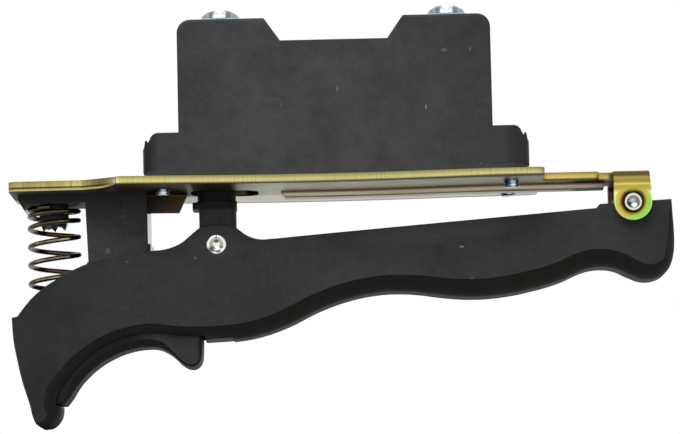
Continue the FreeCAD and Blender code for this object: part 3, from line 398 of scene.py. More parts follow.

# The ear: brown round the rivet, then gold, and green towards the rear and below; its bend is banded, with a
# painted highlight across it and darker bands above.
EAR_RUN = (0.0672, 0.0680)
EAR_REAR_RIM = (0.0764, 0.0778)
RING_RUN = (0.0020, 0.0048)
BEND_RUN = (-0.0034, SHEET)
BEND_START = (-0.0036, -0.0028)
from_pin = from_axis(place, HINGE_X, HINGE_Z).between(*RING_RUN) + stain * 0.12 - 0.06
ear_tint = from_pin.ramp(
    (0.05, (0.030, 0.017, 0.005)), (0.28, (0.075, 0.050, 0.009)), (0.42, (0.24, 0.17, 0.028)),
    (0.56, (0.50, 0.37, 0.055)), (0.80, (0.50, 0.45, 0.075)), (0.94, (0.70, 0.70, 0.28)))
green_tint = from_pin.ramp(
    (0.05, (0.028, 0.024, 0.006)), (0.22, (0.10, 0.095, 0.014)), (0.36, (0.32, 0.31, 0.045)),
    (0.52, (0.34, 0.46, 0.060)), (0.68, (0.22, 0.58, 0.060)), (0.86, (0.25, 0.64, 0.085)),
    (0.96, (0.55, 0.74, 0.24)))
greener = ((along - HINGE_X) * 0.8 - (level - HINGE_Z) * 0.65).between(0.0004, 0.0034)
greener = greener.most(along.between(*EAR_REAR_RIM) * 0.7)
# The bright band across the bend is a painted highlight.
bend_bands_and_highlight = (level.between(*BEND_RUN) + stain * 0.06 - 0.03).ramp(
    (0.10, (0.38, 0.36, 0.05)), (0.20, (0.46, 0.28, 0.04)), (0.27, (0.42, 0.33, 0.045)),
    (0.35, (0.60, 0.56, 0.12)), (0.42, (0.30, 0.26, 0.04)), (0.54, (0.19, 0.15, 0.022)),
    (0.66, (0.15, 0.115, 0.018)), (0.72, (0.085, 0.062, 0.011)), (0.88, (0.075, 0.054, 0.011)),
    (0.97, (0.17, 0.14, 0.045)))
bend = level.between(*BEND_START)
ear_tint = greener.mix(bend.mix(ear_tint, bend_bands_and_highlight), bend.mix(green_tint, bend_bands_and_highlight))
inside = place.axis(1).between(0.0, 0.004) * facing.axis(1).below(0.2, 0.6)
ear_tint = (inside * 0.85).mix(ear_tint, (0.20, 0.10, 0.06, 1.0))
ear = along.between(*EAR_RUN)

# The folded tab at the lock post is painted dark brown, painted shade, lighter towards the button.
TAB_RUN = (-0.0558, -0.0552, -0.0370, -0.0364)
TAB_LIGHT = (-0.046, -0.0375)
tab = level.below(-0.0007, -0.0002) * along.band(*TAB_RUN)
tab_shade = along.between(*TAB_LIGHT).ramp((0.0, (0.030, 0.020, 0.006)), (1.0, (0.13, 0.095, 0.03)))
tint = tab.mix(side_on.mix(sheet_tint, edge_tint), tab_shade)
feed(shader, "Base Color", ear.mix(tint, ear_tint))
feed(shader, "Metallic", 0.9 - side_on * 0.3 - flank * 0.2 - shade_by_button * 0.35)
matt = place.noise(300.0, 3.0, 0.6, (0.3, 1.0, 1.0)) * 0.2 + 0.24
feed(shader, "Roughness", matt + ear * 0.1 + shade_by_button * 0.2)
roughen(shader, place.noise(900.0, 2.0, 0.5, (0.25, 1.0, 1.0)), 0.00002)

# Painted shade: a dark dull coat is mixed over the underside at the button, the tab, the tongue and the ear,
# along the rims under the edges, on the lower rim of the cut edge and on the side faces round the button's
# hole and the tab.
BUTTON_RUN = (-0.0361, -0.0356, -0.0262, -0.0252)
MAIN_RUN = (-0.0555, -0.0545, 0.066, 0.067)
HOLE_SIDES = (0.0062, 0.0068)
HOLE_REAR = (-0.0180, -0.0175)
by_button = along.band(*BUTTON_RUN)
by_tab = along.below(-0.0374, -0.0369) * (place.axis(1).between(-0.022, -0.006) * 0.42 + 0.5)
by_ear = along.between(0.0575, 0.0600) * (1.0 - flank) * 0.8
main_sheet = along.band(*MAIN_RUN)
# The lower rim of the cut edge, picked by this level, gets painted shade.
patch_level = rise - along.between(0.0, 0.035) * 0.10
painted_shade = ((by_button + by_tab) * main_sheet + by_ear + on_burr * 0.7) * down * (1.0 - far_side) * (1.0 - ear)
for patch in (
        across.between(0.0198, 0.0212) * down * main_sheet * 0.75,
        side_on * patch_level.below(0.04, 0.18) * main_sheet * (1.0 - tab) * 0.65,
        side_on * across.below(*HOLE_SIDES) * along.below(*HOLE_REAR) * main_sheet * (0.97 - tab * 0.42)):
    painted_shade = painted_shade.most(patch)
dull = painted_shade.make("ShaderNodeBsdfPrincipled", {}, {
    "Base Color": (0.016, 0.011, 0.004, 1.0), "Roughness": 0.6, "Specular IOR Level": 0.05})
shaded_zinc = painted_shade.make("ShaderNodeMixShader", {}, {0: painted_shade, 1: Signal(shader.outputs[0]), 2: dull})
feed(yellow_zinc.node_tree.nodes["Material Output"], "Surface", shaded_zinc)

# The mesh: a narrower ear that leans back, steeper flanks on the bead, then bow, longer sweep and burr.
EAR_FRONT = 0.0675
EAR_REAR = 0.0765
EAR_NARROWER = 0.93
EAR_SHORTER = 0.9
EAR_LEAN = 0.05
BEAD_FRONT = -0.015
BEAD_HALF = 0.0025
BEAD_END = 0.0660
BEAD_FURTHER = 0.0008
FLANK_STEEPER = 0.25
END_STEEPER = 0.2
NEAR_FACE = 0.0003
bm = merged_copy("mounting_plate", 0.00022, segments=3)
for vertex in bm.verts:
    x, y, z = vertex.co
    if x > EAR_FRONT:
        vertex.co.x = HINGE_X + (x - HINGE_X) * EAR_NARROWER
        if z < HINGE_Z:
            vertex.co.z = HINGE_Z + (z - HINGE_Z) * EAR_SHORTER
        elif vertex.co.x > EAR_REAR:
            vertex.co.x -= EAR_LEAN * (z - HINGE_Z)
    elif z < -NEAR_FACE and x > BEAD_FRONT and abs(y) < BEAD_HALF + 0.0001:
        vertex.co.y = math.copysign(BEAD_HALF - (BEAD_HALF - abs(y)) * FLANK_STEEPER, y)
        if x > BEAD_END - 0.004:
            vertex.co.x = BEAD_END + BEAD_FURTHER - (BEAD_END - x) * END_STEEPER
    elif z < NEAR_FACE and x > BEAD_END - 0.0009 and abs(y) < 2.0 * BEAD_HALF:
        vertex.co.x += BEAD_FURTHER
bowed(bm, top=1.0)
TONGUE_HALF = 0.015
SWEEP = 0.0063
SWEEP_REAR = -0.0539
SWEEP_FRONT = -0.0640
SWEEP_POWER = 1.4
sliced(bm, SWEEP_FRONT, SWEEP_REAR, count=10)
for vertex in bm.verts:
    x, y = vertex.co.xy
    if SWEEP_FRONT < x < SWEEP_REAR - 0.0001:
        past = max(0.0, x - SWEEP_REAR + SWEEP)
        now = TONGUE_HALF + SWEEP - math.sqrt(SWEEP * SWEEP - past * past)
        share = (x - SWEEP_FRONT) / (SWEEP_REAR - SWEEP_FRONT)
        then = TONGUE_HALF + SWEEP * share ** SWEEP_POWER
        if abs(y) > now - 0.0005:
            vertex.co.y += math.copysign(then - now, y)
burred(bm, low=-0.0005, high=0.0005)
stand_for(bm, "plate_sheet", yellow_zinc, "carrier", "yellow_zinc", "mounting_plate")


# Lock post. Black moulding under the front tongue, held by two countersunk screws.
# The sprue on the end of its spring boss was broken off, which left a ragged skirt.

def black_moulding(name, tone, grain, scuffs, marks=(), underside_shade=0.0, fades=(), gloss=0.0):
    """Black moulded plastic with a fine grain, dull patches, scuffs, and lighter marks at given places:
    nicks, and on some pieces painted highlights.

    Each mark is a centre, its reach along each axis, its turn and its strength.
    The setting after the marks is painted shade: how far the faces that look down or to the rear are
    darkened.
    Each fade is a stretch along X, or along another axis, over which the moulding darkens, and by how much.
    Gloss is how far the faces that look to the rear shine."""
    finish, shader, place = start_finish(name)
    facing = place.facing()
    mottle = place.noise(70.0, 4.0, 0.6)
    cloud = place.noise(17.0, 2.0, 0.5, (1.0, 1.0, 1.6), (4.1, 0.2, 1.3))
    speck = place.noise(420.0, 4.0, 0.7, (1.0, 1.0, 1.0), (1.7, 0.9, 5.3))
    streak = place.noise(230.0, 2.0, 0.5, (1.0, 1.0, 0.05), (0.7, 2.1, 0.4)).between(0.68, 0.76)
    nick = place.noise(120.0, 2.0, 0.4, (0.22, 1.0, 1.0), (3.7, 0.6, 2.2)).between(0.70, 0.75)
    patch_level = (streak * 0.35 + nick * 0.7) * scuffs * cloud.between(0.45, 0.62)
    # Marks lighten the moulding: nicks, and on some pieces painted highlights.
    for centre, reach, turn, strength in marks:
        patch_level = patch_level + place.spot(centre, reach, turn) * strength
    dark = tuple(value * 0.74 for value in tone)
    pale = tuple(value * 1.26 for value in tone)
    body = (mottle * 0.4 + cloud * 0.3 + speck * 0.3).ramp((0.40, dark), (0.60, pale))
    body = patch_level.math("MINIMUM", patch_level, 1.0).mix(body, (0.20, 0.20, 0.205, 1.0))
    for start, stop, share, *axis in fades:
        along = place.axis(*axis or (0,))
        body = (along.between(start, stop) * share).mix(body, (0.003, 0.0035, 0.003, 1.0))
    # Painted shade: faces that look down or to the rear darken towards a near-black green.
    shaded_faces = (0.0 - facing.axis(2)).between(0.22, 0.46).most(facing.axis(0).between(0.30, 0.55)) * underside_shade
    feed(shader, "Base Color", shaded_faces.mix(body, (0.0045, 0.0062, 0.0035, 1.0)))
    feed(shader, "Roughness", mottle * 0.16 + 0.42 + cloud * 0.08 + shaded_faces * 0.02)
    feed(shader, "Coat Weight", facing.axis(0).between(0.9, 0.98) * gloss)
    shader.inputs["Specular IOR Level"].default_value = 0.12
    roughen(shader, place.noise(grain, 3.0, 0.65), 0.00004, 0.6)
    return finish


def dress(node, finish):
    """Give a CAD node a finish of its own."""
    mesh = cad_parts[node].data
    mesh.materials.clear()
    mesh.materials.append(finish)


def rod(bm, low, high, thick, sides=24, thin=None):
    """A round bar between two points, in millimetres, tapering to another thickness if one is given."""
    low = Vector(low) * 0.001
    high = Vector(high) * 0.001
    way = high - low
    turn = way.to_track_quat("Z", "Y").to_matrix().to_4x4()
    made = bmesh.ops.create_cone(
        bm, cap_ends=True, cap_tris=False, segments=sides, radius1=thick * 0.0005,
        radius2=(thick if thin is None else thin) * 0.0005, depth=way.length,
        matrix=Matrix.Translation((low + high) / 2) @ turn)
    return made["verts"]


POST_FRONT = (-0.0640, -0.0618)
POST_REAR = -0.0471
ARM_LOW = -0.0045
FRONT_IN = 0.0007
REAR_IN_FAR = 0.00035
REAR_IN_NEAR = 0.00065
SPRING_X = -70.8
post_black = black_moulding("post_black", (0.040, 0.0405, 0.044), grain=2600.0, scuffs=0.4, marks=(
    ((-0.0532, -0.007, -0.0062), (0.0004, 0.003, 0.0004), 0.0, 0.35),
    ((-0.0571, -0.007, -0.0148), (0.0006, 0.003, 0.0010), 0.2, 0.3)), gloss=0.8)
bm = merged_copy("lock_post", 0.0002)
# Two cuts across the top, where the burr starts and where it is full, let it follow the tongue.
sliced(bm, 2.0 * BURR_FULL - BURR_NONE, 2.0 * BURR_NONE - BURR_FULL, count=3)
burred(bm, low=-0.0006, high=0.0005)
for vertex in bm.verts:
    if POST_FRONT[0] < vertex.co.x < POST_FRONT[1] and vertex.co.z < ARM_LOW:
        vertex.co.x += FRONT_IN
    elif vertex.co.x > POST_REAR:
        vertex.co.x -= REAR_IN_FAR if vertex.co.y > 0.0 else REAR_IN_NEAR
stand_for(bm, "post_block", post_black, "carrier", "black_moulding", "lock_post")

bm = bmesh.new()
skirt = rod(bm, (SPRING_X, 0.0, -8.4), (SPRING_X, 0.0, -6.3), thick=6.2, sides=22, thin=7.2)
TEETH = (0.9, 0.2, 1.3, 0.5, 0.0, 1.6, 0.7, 1.1, 0.3, 1.9, 0.6)
hem = [vertex for vertex in skirt if vertex.co.z < -0.008]
hem.sort(key=lambda vertex: math.atan2(vertex.co.y, vertex.co.x - SPRING_X * 0.001))
for number, vertex in enumerate(hem):
    vertex.co.z += 0.0012 - 0.001 * TEETH[number % len(TEETH)]
bmesh.ops.inset_region(
    bm, faces=[face for face in bm.faces if face.normal.z < -0.3 and len(face.verts) > 6],
    thickness=0.0006, depth=-0.0008, use_even_offset=True)
stand_for(bm, "boss_flash", post_black, "carrier", "black_moulding", angle=25.0)


# Screws. Zinc-plated steel: M4 pan heads through the flange into the plate, countersunk ones for the post,
# and broad slotted terminal screws with square clamps, left open for the wires.

def bright_steel(name, tone, rough):
    """Plated steel with fine turning lines and slightly uneven plating."""
    finish, shader, place = start_finish(name)
    cloud = place.noise(260.0, 3.0, 0.6)
    feed(shader, "Base Color", cloud.ramp(
        (0.3, tuple(value * 0.82 for value in tone)), (0.7, tone)))
    shader.inputs["Metallic"].default_value = 1.0
    feed(shader, "Roughness", cloud * 0.16 + rough)
    roughen(shader, place.noise(1800.0, 2.0, 0.5, (1.0, 1.0, 0.2)), 0.00002)
    return finish


def turned(bm, profile, centre, axis, steps=36):
    """A turned shape: a profile of radius and height in millimetres, spun round an axis through centre."""
    centre = Vector(centre) * 0.001
    axis = Vector(axis)
    outward = Vector((1.0, 0.0, 0.0))
    places = [centre + (outward * radius + axis * high) * 0.001 for radius, high in profile]
    knots = [bm.verts.new(place) for place in places]
    edges = [bm.edges.new(pair) for pair in zip(knots, knots[1:])]
    bmesh.ops.spin(
        bm, geom=knots + edges, cent=centre, axis=axis, dvec=(0.0, 0.0, 0.0), angle=2 * math.pi, steps=steps,
        use_merge=True, use_normal_flip=False, use_duplicate=False)
    bmesh.ops.remove_doubles(bm, verts=bm.verts, dist=0.000002)
    bmesh.ops.recalc_face_normals(bm, faces=bm.faces)


def block(bm, low, high):
    """A box between two corners, in millimetres."""
    low = Vector(low) * 0.001
    high = Vector(high) * 0.001
    made = bmesh.ops.create_cube(
        bm, size=1.0, matrix=Matrix.Translation((low + high) / 2) @ Matrix.Diagonal((*(high - low), 1.0)))
    return made["verts"]


def carve(bm, cutter):
    """Cut one closed shape out of another."""
    things = []
    for shape in (bm, cutter):
        mesh = bpy.data.meshes.new("blank")
        shape.to_mesh(mesh)
        shape.free()
        thing = bpy.data.objects.new("blank", mesh)
        scene.collection.objects.link(thing)
        things.append(thing)
    cut = things[0].modifiers.new("cut", "BOOLEAN")
    cut.object = things[1]
    cut.solver = "EXACT"
    cut.use_self = True
    result = bmesh.new()
    result.from_object(things[0], bpy.context.evaluated_depsgraph_get())
    for thing in things:
        mesh = thing.data
        bpy.data.objects.remove(thing)
        bpy.data.meshes.remove(mesh)
    return result


zinc_steel = bright_steel("zinc_steel", (0.50, 0.62, 0.70), rough=0.2)
dress("terminal_clamps", zinc_steel)
dress("post_screws", zinc_steel)

SCREW_Y = 10.0
TERMINAL_X = 28.1
TERMINALS = [(x, y) for x in (-TERMINAL_X, TERMINAL_X) for y in (-SCREW_Y, SCREW_Y)]
TERMINAL_PROFILE = [
    (0.0, 44.25), (1.6, 44.2), (3.2, 43.75), (4.3, 43.0), (4.75, 42.3), (4.88, 41.9), (4.88, 41.75),
    (2.5, 41.75), (2.5, 34.3), (2.0, 33.75), (0.0, 33.75)]
SLOT_HALF = 0.25
SLOT_REACH = 6.0
SLOT_FLOOR = 42.35
SLOT_TOP = 45.0
SLOT_FLARE = 0.0011
bm = bmesh.new()
slots = bmesh.new()
for x, y in TERMINALS:
    turned(bm, TERMINAL_PROFILE, (x, y, 0.0), (0.0, 0.0, 1.0))
    low = (x - SLOT_HALF, y - SLOT_REACH, SLOT_FLOOR)
    high = (x + SLOT_HALF, y + SLOT_REACH, SLOT_TOP)
    for corner in block(slots, low, high):
        if corner.co.z > SLOT_FLOOR * 0.001 + 0.001:
            corner.co.x += math.copysign(SLOT_FLARE, corner.co.x - x * 0.001)
bm = carve(bm, slots)
# The heads are banded by distance from the slot: near-white painted highlights beside it, then darker and
# lighter bands out to the rim, painted light and shade on the dome.
head_steel, shader, place = start_finish("head_steel")
to_slot = place.math("ABSOLUTE", place.math("ABSOLUTE", place.axis(0)) - TERMINAL_X * 0.001)
band_noise = place.noise(500.0, 3.0, 0.6)
feed(shader, "Base Color", (to_slot.between(0.0006, 0.0048) + band_noise * 0.3 - 0.15).ramp(
    (0.00, (0.70, 0.72, 0.73)), (0.16, (0.85, 0.87, 0.88)), (0.26, (0.24, 0.27, 0.28)),
    (0.42, (0.16, 0.18, 0.19)), (0.60, (0.36, 0.40, 0.42)), (0.78, (0.20, 0.23, 0.25)),
    (0.96, (0.42, 0.46, 0.49))))
shader.inputs["Metallic"].default_value = 1.0
feed(shader, "Roughness", band_noise * 0.2 + 0.14)
stand_for(bm, "terminal_screw_set", head_steel, "carrier", "zinc_steel", "terminal_screws", angle=28.0)

FIXING_X = 43.2
THREAD_PITCH = 0.72
FIXINGS = [(x, y) for x in (-FIXING_X, FIXING_X) for y in (-SCREW_Y, SCREW_Y)]
FIXING_PROFILE = [
    (0.0, 12.65), (2.2, 12.55), (3.1, 12.1), (3.6, 11.4), (3.7, 10.9), (3.7, 10.2), (1.75, 10.2),
    (1.75, 0.0), (1.7, -0.05), (1.93, -0.28), (1.93, -0.38), (1.64, -0.65), (1.64, -0.75),
    (1.92, -1.02), (1.9, -1.15), (1.6, -1.5), (1.2, -1.6), (0.0, -1.6)]
CROSS_HALF = 0.4
CROSS_REACH = 2.2
CROSS_FLOOR = 11.6
CROSS_TOP = 13.0
bm = bmesh.new()
slots = bmesh.new()
for x, y in FIXINGS:
    turned(bm, FIXING_PROFILE, (x, y, 0.0), (0.0, 0.0, 1.0), steps=28)
    for wide, long in ((CROSS_HALF, CROSS_REACH), (CROSS_REACH, CROSS_HALF)):
        block(slots, (x - wide, y - long, CROSS_FLOOR), (x + wide, y + long, CROSS_TOP))
bm = carve(bm, slots)
# The screws are coloured by which way they face: a blue-white painted sheen on faces turned a little to the
# right, darker on the others, and painted shade in the thread grooves.
thread_steel, shader, place = start_finish("thread_steel")
groove_shade = place.math("SINE", place.axis(2) * (2000.0 * math.pi / THREAD_PITCH))
blotch = place.noise(700.0, 3.0, 0.6)
sheen = (place.facing().axis(0) * 0.5 + blotch * 0.16 + 0.42).ramp(
    (0.10, (0.10, 0.11, 0.12)), (0.36, (0.05, 0.07, 0.10)), (0.45, (0.42, 0.58, 0.72)),
    (0.58, (0.90, 0.96, 1.0)), (0.72, (0.55, 0.66, 0.74)), (0.84, (0.10, 0.10, 0.10)),
    (0.95, (0.25, 0.24, 0.22)))
feed(shader, "Base Color", (groove_shade.between(0.1, 0.9) * 0.55).mix(sheen, (0.10, 0.15, 0.20, 1.0)))
shader.inputs["Metallic"].default_value = 1.0
feed(shader, "Roughness", blotch * 0.15 + 0.14)
stand_for(bm, "fixing_screw_set", thread_steel, "carrier", "zinc_steel", "fixing_screws", angle=28.0)


# Base cover and switch housing. Black glass-filled mouldings, screwed together through the flange.
# The faces have a fine spark-eroded grain and the scuffs of handling.

cover_black = black_moulding("cover_black", (0.036, 0.036, 0.038), grain=2600.0, scuffs=0.2)
bm = merged_copy("base_cover", 0.0001, segments=1)
bowed(bm, top=0.0022)
stand_for(bm, "cover_sheet", cover_black, "carrier", "black_moulding", "base_cover")
# The fades are painted shade: they darken both rounded ends of the flange and, a little, the right part of
# the box.
housing_black = black_moulding("housing_black", (0.0364, 0.0364, 0.0388), grain=2600.0, scuffs=0.5, marks=(
    ((0.0271, -0.020, 0.0317), (0.0009, 0.003, 0.0005), 0.1, 0.4),
    ((0.0335, -0.020, 0.0318), (0.0004, 0.003, 0.0006), 0.0, 0.35),
    ((0.0006, -0.020, 0.0226), (0.0002, 0.003, 0.0008), 0.0, 0.6),
    ((0.0223, -0.020, 0.0176), (0.0002, 0.003, 0.0008), 0.1, 0.9),
    ((-0.0133, -0.020, 0.0189), (0.0004, 0.003, 0.0008), 0.0, 0.12),
    ((0.0354, -0.020, 0.0032), (0.0003, 0.003, 0.0004), 0.0, 0.8)), fades=(
    (-0.0432, -0.0466, 0.85), (0.014, 0.036, 0.2), (0.0405, 0.0430, 0.35)))
HOUSING_ROUND = 0.00035
FLANGE_END = 0.0462
NOTCH_HALF = 0.021
NOTCH_OUTLINE = [
    (48.5, 9.2), (47.25, 9.2), (46.85, 11.1), (46.4, 11.0), (46.26, 10.05), (45.4, 11.85), (44.9, 12.35),
    (44.0, 12.72), (44.0, 13.5), (48.5, 13.5)]
bm = merged_copy("switch_housing", HOUSING_ROUND)
for vertex in bm.verts:
    if abs(vertex.co.x) > FLANGE_END:
        vertex.co.x += math.copysign(HOUSING_ROUND, vertex.co.x)
notches = bmesh.new()
for end in (-1.0, 1.0):
    knots = [notches.verts.new((end * x * 0.001, -NOTCH_HALF, z * 0.001)) for x, z in NOTCH_OUTLINE]
    face = notches.faces.new(knots)
    made = bmesh.ops.extrude_face_region(notches, geom=[face], use_keep_orig=True)
    moved = [part for part in made["geom"] if isinstance(part, bmesh.types.BMVert)]
    bmesh.ops.translate(notches, verts=moved, vec=(0.0, 2.0 * NOTCH_HALF, 0.0))
bmesh.ops.recalc_face_normals(notches, faces=notches.faces)
bm = carve(bm, notches)
stand_for(bm, "housing_box", housing_black, "carrier", "black_moulding", "switch_housing")


# Contacts inside the housing. Brass strips with silver tips, riveted on, and bridges carried by the plunger.
# The bridges float on thin springs, so both ends of each close with the same force.

contact_brass = bright_steel("contact_brass", (0.80, 0.62, 0.30), rough=0.25)
contact_silver = bright_steel("contact_silver", (0.88, 0.87, 0.84), rough=0.18)
for pole in ("near", "far"):
    for strip in ("line_contact_", "load_contact_", "bridge_"):
        dress(strip + pole, contact_brass)
dress("fixed_tips", contact_silver)
dress("bridge_tips", contact_silver)


# Plunger and contact carrier. Black moulded pushbutton; the foot is slotted for the link rivet.
# A collar below the plate keeps dust out, and the carrier is pressed on top.

COLLAR_LOW = -0.00545
COLLAR_STEP = -0.0046
COLLAR_HIGH = -0.0036
COLLAR_LIFT = 0.0007
RIM_LIFT = 0.0010
BUTTON_X = -30.1
# The mark is a painted highlight along the collar's edge; the fade darkens the collar and all above it,
# towards the plate, as painted shade.
plunger_black = black_moulding("plunger_black", (0.062, 0.062, 0.067), grain=2600.0, scuffs=0.15, marks=(
    ((-0.0302, -0.0052, -0.0034), (0.0046, 0.003, 0.0003), 0.0, 0.18),), fades=((-0.0050, -0.0044, 0.75, 2),))
bm = merged_copy("plunger", 0.0003)
for vertex in bm.verts:
    if COLLAR_LOW < vertex.co.z < COLLAR_STEP:
        vertex.co.z += COLLAR_LIFT
    elif COLLAR_STEP <= vertex.co.z < COLLAR_HIGH:
        vertex.co.z += RIM_LIFT
stand_for(bm, "plunger_button", plunger_black, "button", "plunger_moulding", "plunger")
dress("contact_carrier", plunger_black)


# Springs. Oiled spring-steel wire, wound right-handed with closed ends: dark bronze, with painted highlights
# on the crests.
# The return spring stands between the post's arm and the seat in the hook, the others out of sight.

def wound(bm, centre, mean, wire, start, level, runs, sides=10):
    """A coil of this mean radius and wire, in millimetres, wound down from a start angle and level.

    Each run is a number of turns and how far they drop."""
    centre = Vector((centre[0], centre[1], 0.0)) * 0.001
    outward = Vector((math.cos(start), math.sin(start), 0.0))
    middle = centre + (outward * mean + Vector((0.0, 0.0, level))) * 0.001
    upward = Vector((0.0, 0.0, 1.0))
    turn = Matrix((outward, upward, outward.cross(upward))).transposed().to_4x4()
    made = bmesh.ops.create_circle(
        bm, cap_ends=True, segments=sides, radius=wire * 0.0005, matrix=Matrix.Translation(middle) @ turn)
    tip = [part for vertex in made["verts"] for part in (vertex, *vertex.link_edges, *vertex.link_faces)]
    tip = list(dict.fromkeys(tip))
    for turns, drop in runs:
        steps = max(6, int(turns * 34))
        made = bmesh.ops.spin(
            bm, geom=tip, cent=centre, axis=upward, dvec=(0.0, 0.0, -drop * 0.001 / steps),
            angle=-2 * math.pi * turns, steps=steps, use_merge=False, use_normal_flip=False,
            use_duplicate=False)
        tip = made["geom_last"]
    bmesh.ops.recalc_face_normals(bm, faces=bm.faces)


spring_bronze, shader, place = start_finish("spring_bronze")
facing = place.facing()
off_x = place.axis(0) - SPRING_X * 0.001
off_y = place.axis(1)
off_axis = off_x.math("SQRT", off_x * off_x + off_y * off_y)
outward = (facing.axis(0) * off_x + facing.axis(1) * off_y) / off_axis
crest_noise = place.noise(210.0, 3.0, 0.6, (1.0, 1.0, 0.5))
in_shade = place.axis(2).between(-0.0115, -0.0065) * 0.035
turned_away = facing.axis(1).between(-0.80, -0.45) * 0.12
# Painted light on the return spring: bright painted highlights on the crests where the wire faces out and to
# the front, painted shade on the top turns and on faces turned away.
feed(shader, "Base Color", (outward * 0.5 + 0.5 + crest_noise * 0.18 - 0.125 - in_shade - turned_away).ramp(
    (0.02, (0.13, 0.09, 0.07)), (0.22, (0.035, 0.027, 0.018)), (0.84, (0.026, 0.022, 0.011)),
    (0.94, (0.10, 0.08, 0.045)), (1.00, (0.56, 0.47, 0.30))))
shader.inputs["Metallic"].default_value = 1.0
feed(shader, "Roughness", crest_noise * 0.2 + 0.16)
roughen(shader, place.noise(1800.0, 2.0, 0.5), 0.00001)
LEAN_ALONG = 0.017
LEAN_ACROSS = 0.03
bm = bmesh.new()
wound(bm, (SPRING_X, 0.0), mean=6.1, wire=1.25, start=-math.pi / 2 - 0.1, level=-3.2, runs=(
    (1.0, 1.28), (1.0, 2.6), (1.0, 4.7), (1.0, 4.45), (1.0, 4.75), (1.0, 4.6), (0.85, 3.5), (1.0, 1.28)))
for vertex in bm.verts:
    vertex.co.z += LEAN_ALONG * (vertex.co.x - SPRING_X * 0.001) + LEAN_ACROSS * vertex.co.y
return_spring = stand_for(bm, "return_spring", spring_bronze, "carrier", "spring_steel", "trigger_spring")
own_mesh(return_spring)

LOCK_SPRING_X = -40.0
inner_wire = bright_steel("inner_wire", (0.34, 0.32, 0.29), rough=0.2)
bm = bmesh.new()
wound(bm, (BUTTON_X, 0.0), mean=3.55, wire=0.9, start=0.0, level=35.95, runs=(
    (1.0, 1.0), (1.0, 3.9), (1.0, 3.9), (1.0, 3.9), (1.0, 1.4)), sides=8)
button_spring = stand_for(bm, "button_spring", inner_wire, "carrier", "spring_steel", "plunger_spring")
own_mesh(button_spring)

bm = bmesh.new()
wound(bm, (LOCK_SPRING_X, 0.0), mean=2.15, wire=0.7, start=0.0, level=-24.35, runs=(
    (1.0, 0.8), (1.0, 2.7), (1.0, 2.6), (1.0, 0.7)), sides=8)
lock_spring = stand_for(bm, "lock_spring", inner_wire, "trigger_lever", "spring_steel", "lever_spring")
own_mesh(lock_spring)
dress("contact_spring_near", inner_wire)
dress("contact_spring_far", inner_wire)


# Trigger. A long black moulded shell, open on top, with a broad bevelled belly and a finger hook in front.
# It swings on the hinge rivet; inside are ribs, the spring seat with its locating disc and the hinge barrel.

def moulded(half, stations, corners, softness, rings=0, deep=1.0):
    """A moulding drawn by its side view, in millimetres: a smooth outline through stations, sharp at corners.

    The stations go clockwise. Softness gives the width of the rounded border of both side faces at each
    station. The border has so many rings, and is so many times as deep as wide."""
    curve = bpy.data.curves.new("side_view", "CURVE")
    curve.dimensions = "3D"
    curve.resolution_u = 5
    widest = 3.0
    border = math.radians(50.0)
    near = [(-1.0, step) for step in range(rings, -1, -1)]
    far = [(1.0, step) for step in range(rings + 1)]
    for side, step in near + far:
        lean = border * step / max(rings, 1)
        inward = (1.0 - math.cos(lean)) / (1.0 - math.cos(border))
        drawn_in = deep * (1.0 - math.sin(lean) / math.sin(border)) if rings else 0.0
        spline = curve.splines.new("BEZIER")
        spline.bezier_points.add(len(stations) - 1)
        spline.use_cyclic_u = True
        for number, knot in enumerate(spline.bezier_points):
            x, z = stations[number]
            ahead = Vector(stations[(number + 1) % len(stations)]) - Vector(stations[number - 1])
            ahead.normalize()
            wide = softness(x, z)
            y = side * (half - min(wide, widest) * drawn_in)
            knot.co = Vector((x + ahead.y * wide * inward, y, z - ahead.x * wide * inward)) * 0.001
            knot.handle_left_type = "VECTOR" if (x, z) in corners else "AUTO"
            knot.handle_right_type = knot.handle_left_type
    thing = bpy.data.objects.new("side_view", curve)
    scene.collection.objects.link(thing)
    drawn = bpy.data.meshes.new_from_object(thing.evaluated_get(bpy.context.evaluated_depsgraph_get()))
    bm = bmesh.new()
    bm.from_mesh(drawn)
    bpy.data.objects.remove(thing)
    bpy.data.curves.remove(curve)
    bpy.data.meshes.remove(drawn)
    count = len(bm.verts) // (2 * rings + 2)
    loops = [[] for ring in range(2 * rings + 2)]
    for edge in bm.edges:
        loops[edge.verts[0].index // count].append(edge)
    for first, second in zip(loops, loops[1:]):
        bmesh.ops.bridge_loops(bm, edges=first + second)
    bmesh.ops.edgeloop_fill(bm, edges=loops[0])
    bmesh.ops.edgeloop_fill(bm, edges=loops[-1])
    bmesh.ops.recalc_face_normals(bm, faces=bm.faces)
    return bm


def blend_over(value, low, high, first, second):
    """A width that changes evenly from first to second while value goes from low to high."""
    share = min(1.0, max(0.0, (value - low) / (high - low)))
    return first + (second - first) * share


def trigger_softness(x, z):
    """Broad below, slight along the top and the front of the hook."""
    on_rear_end = x > 82.0
    behind_hook = x > -16.0
    on_top = z > (-15.5 if behind_hook else -31.6)
    on_hook_front = x < -75.0
    on_hook_tip = z < -54.0
    if on_rear_end:
        return blend_over(-z, 6.0, 18.0, 0.5, 2.4)
    if on_top:
        return 0.25
    if behind_hook:
        return blend_over(x, 62.0, 82.0, blend_over(x, 15.0, 45.0, 3.7, 4.2), 3.0)
    if on_hook_front:
        return blend_over(-z, 32.0, 36.0, 0.25, 0.8)
    if on_hook_tip:
        return blend_over(-x, 69.5, 75.1, 3.6, 0.8)
    return blend_over(-z, 39.0, 52.0, blend_over(x, -46.0, -24.0, 2.8, 3.5), 4.3)


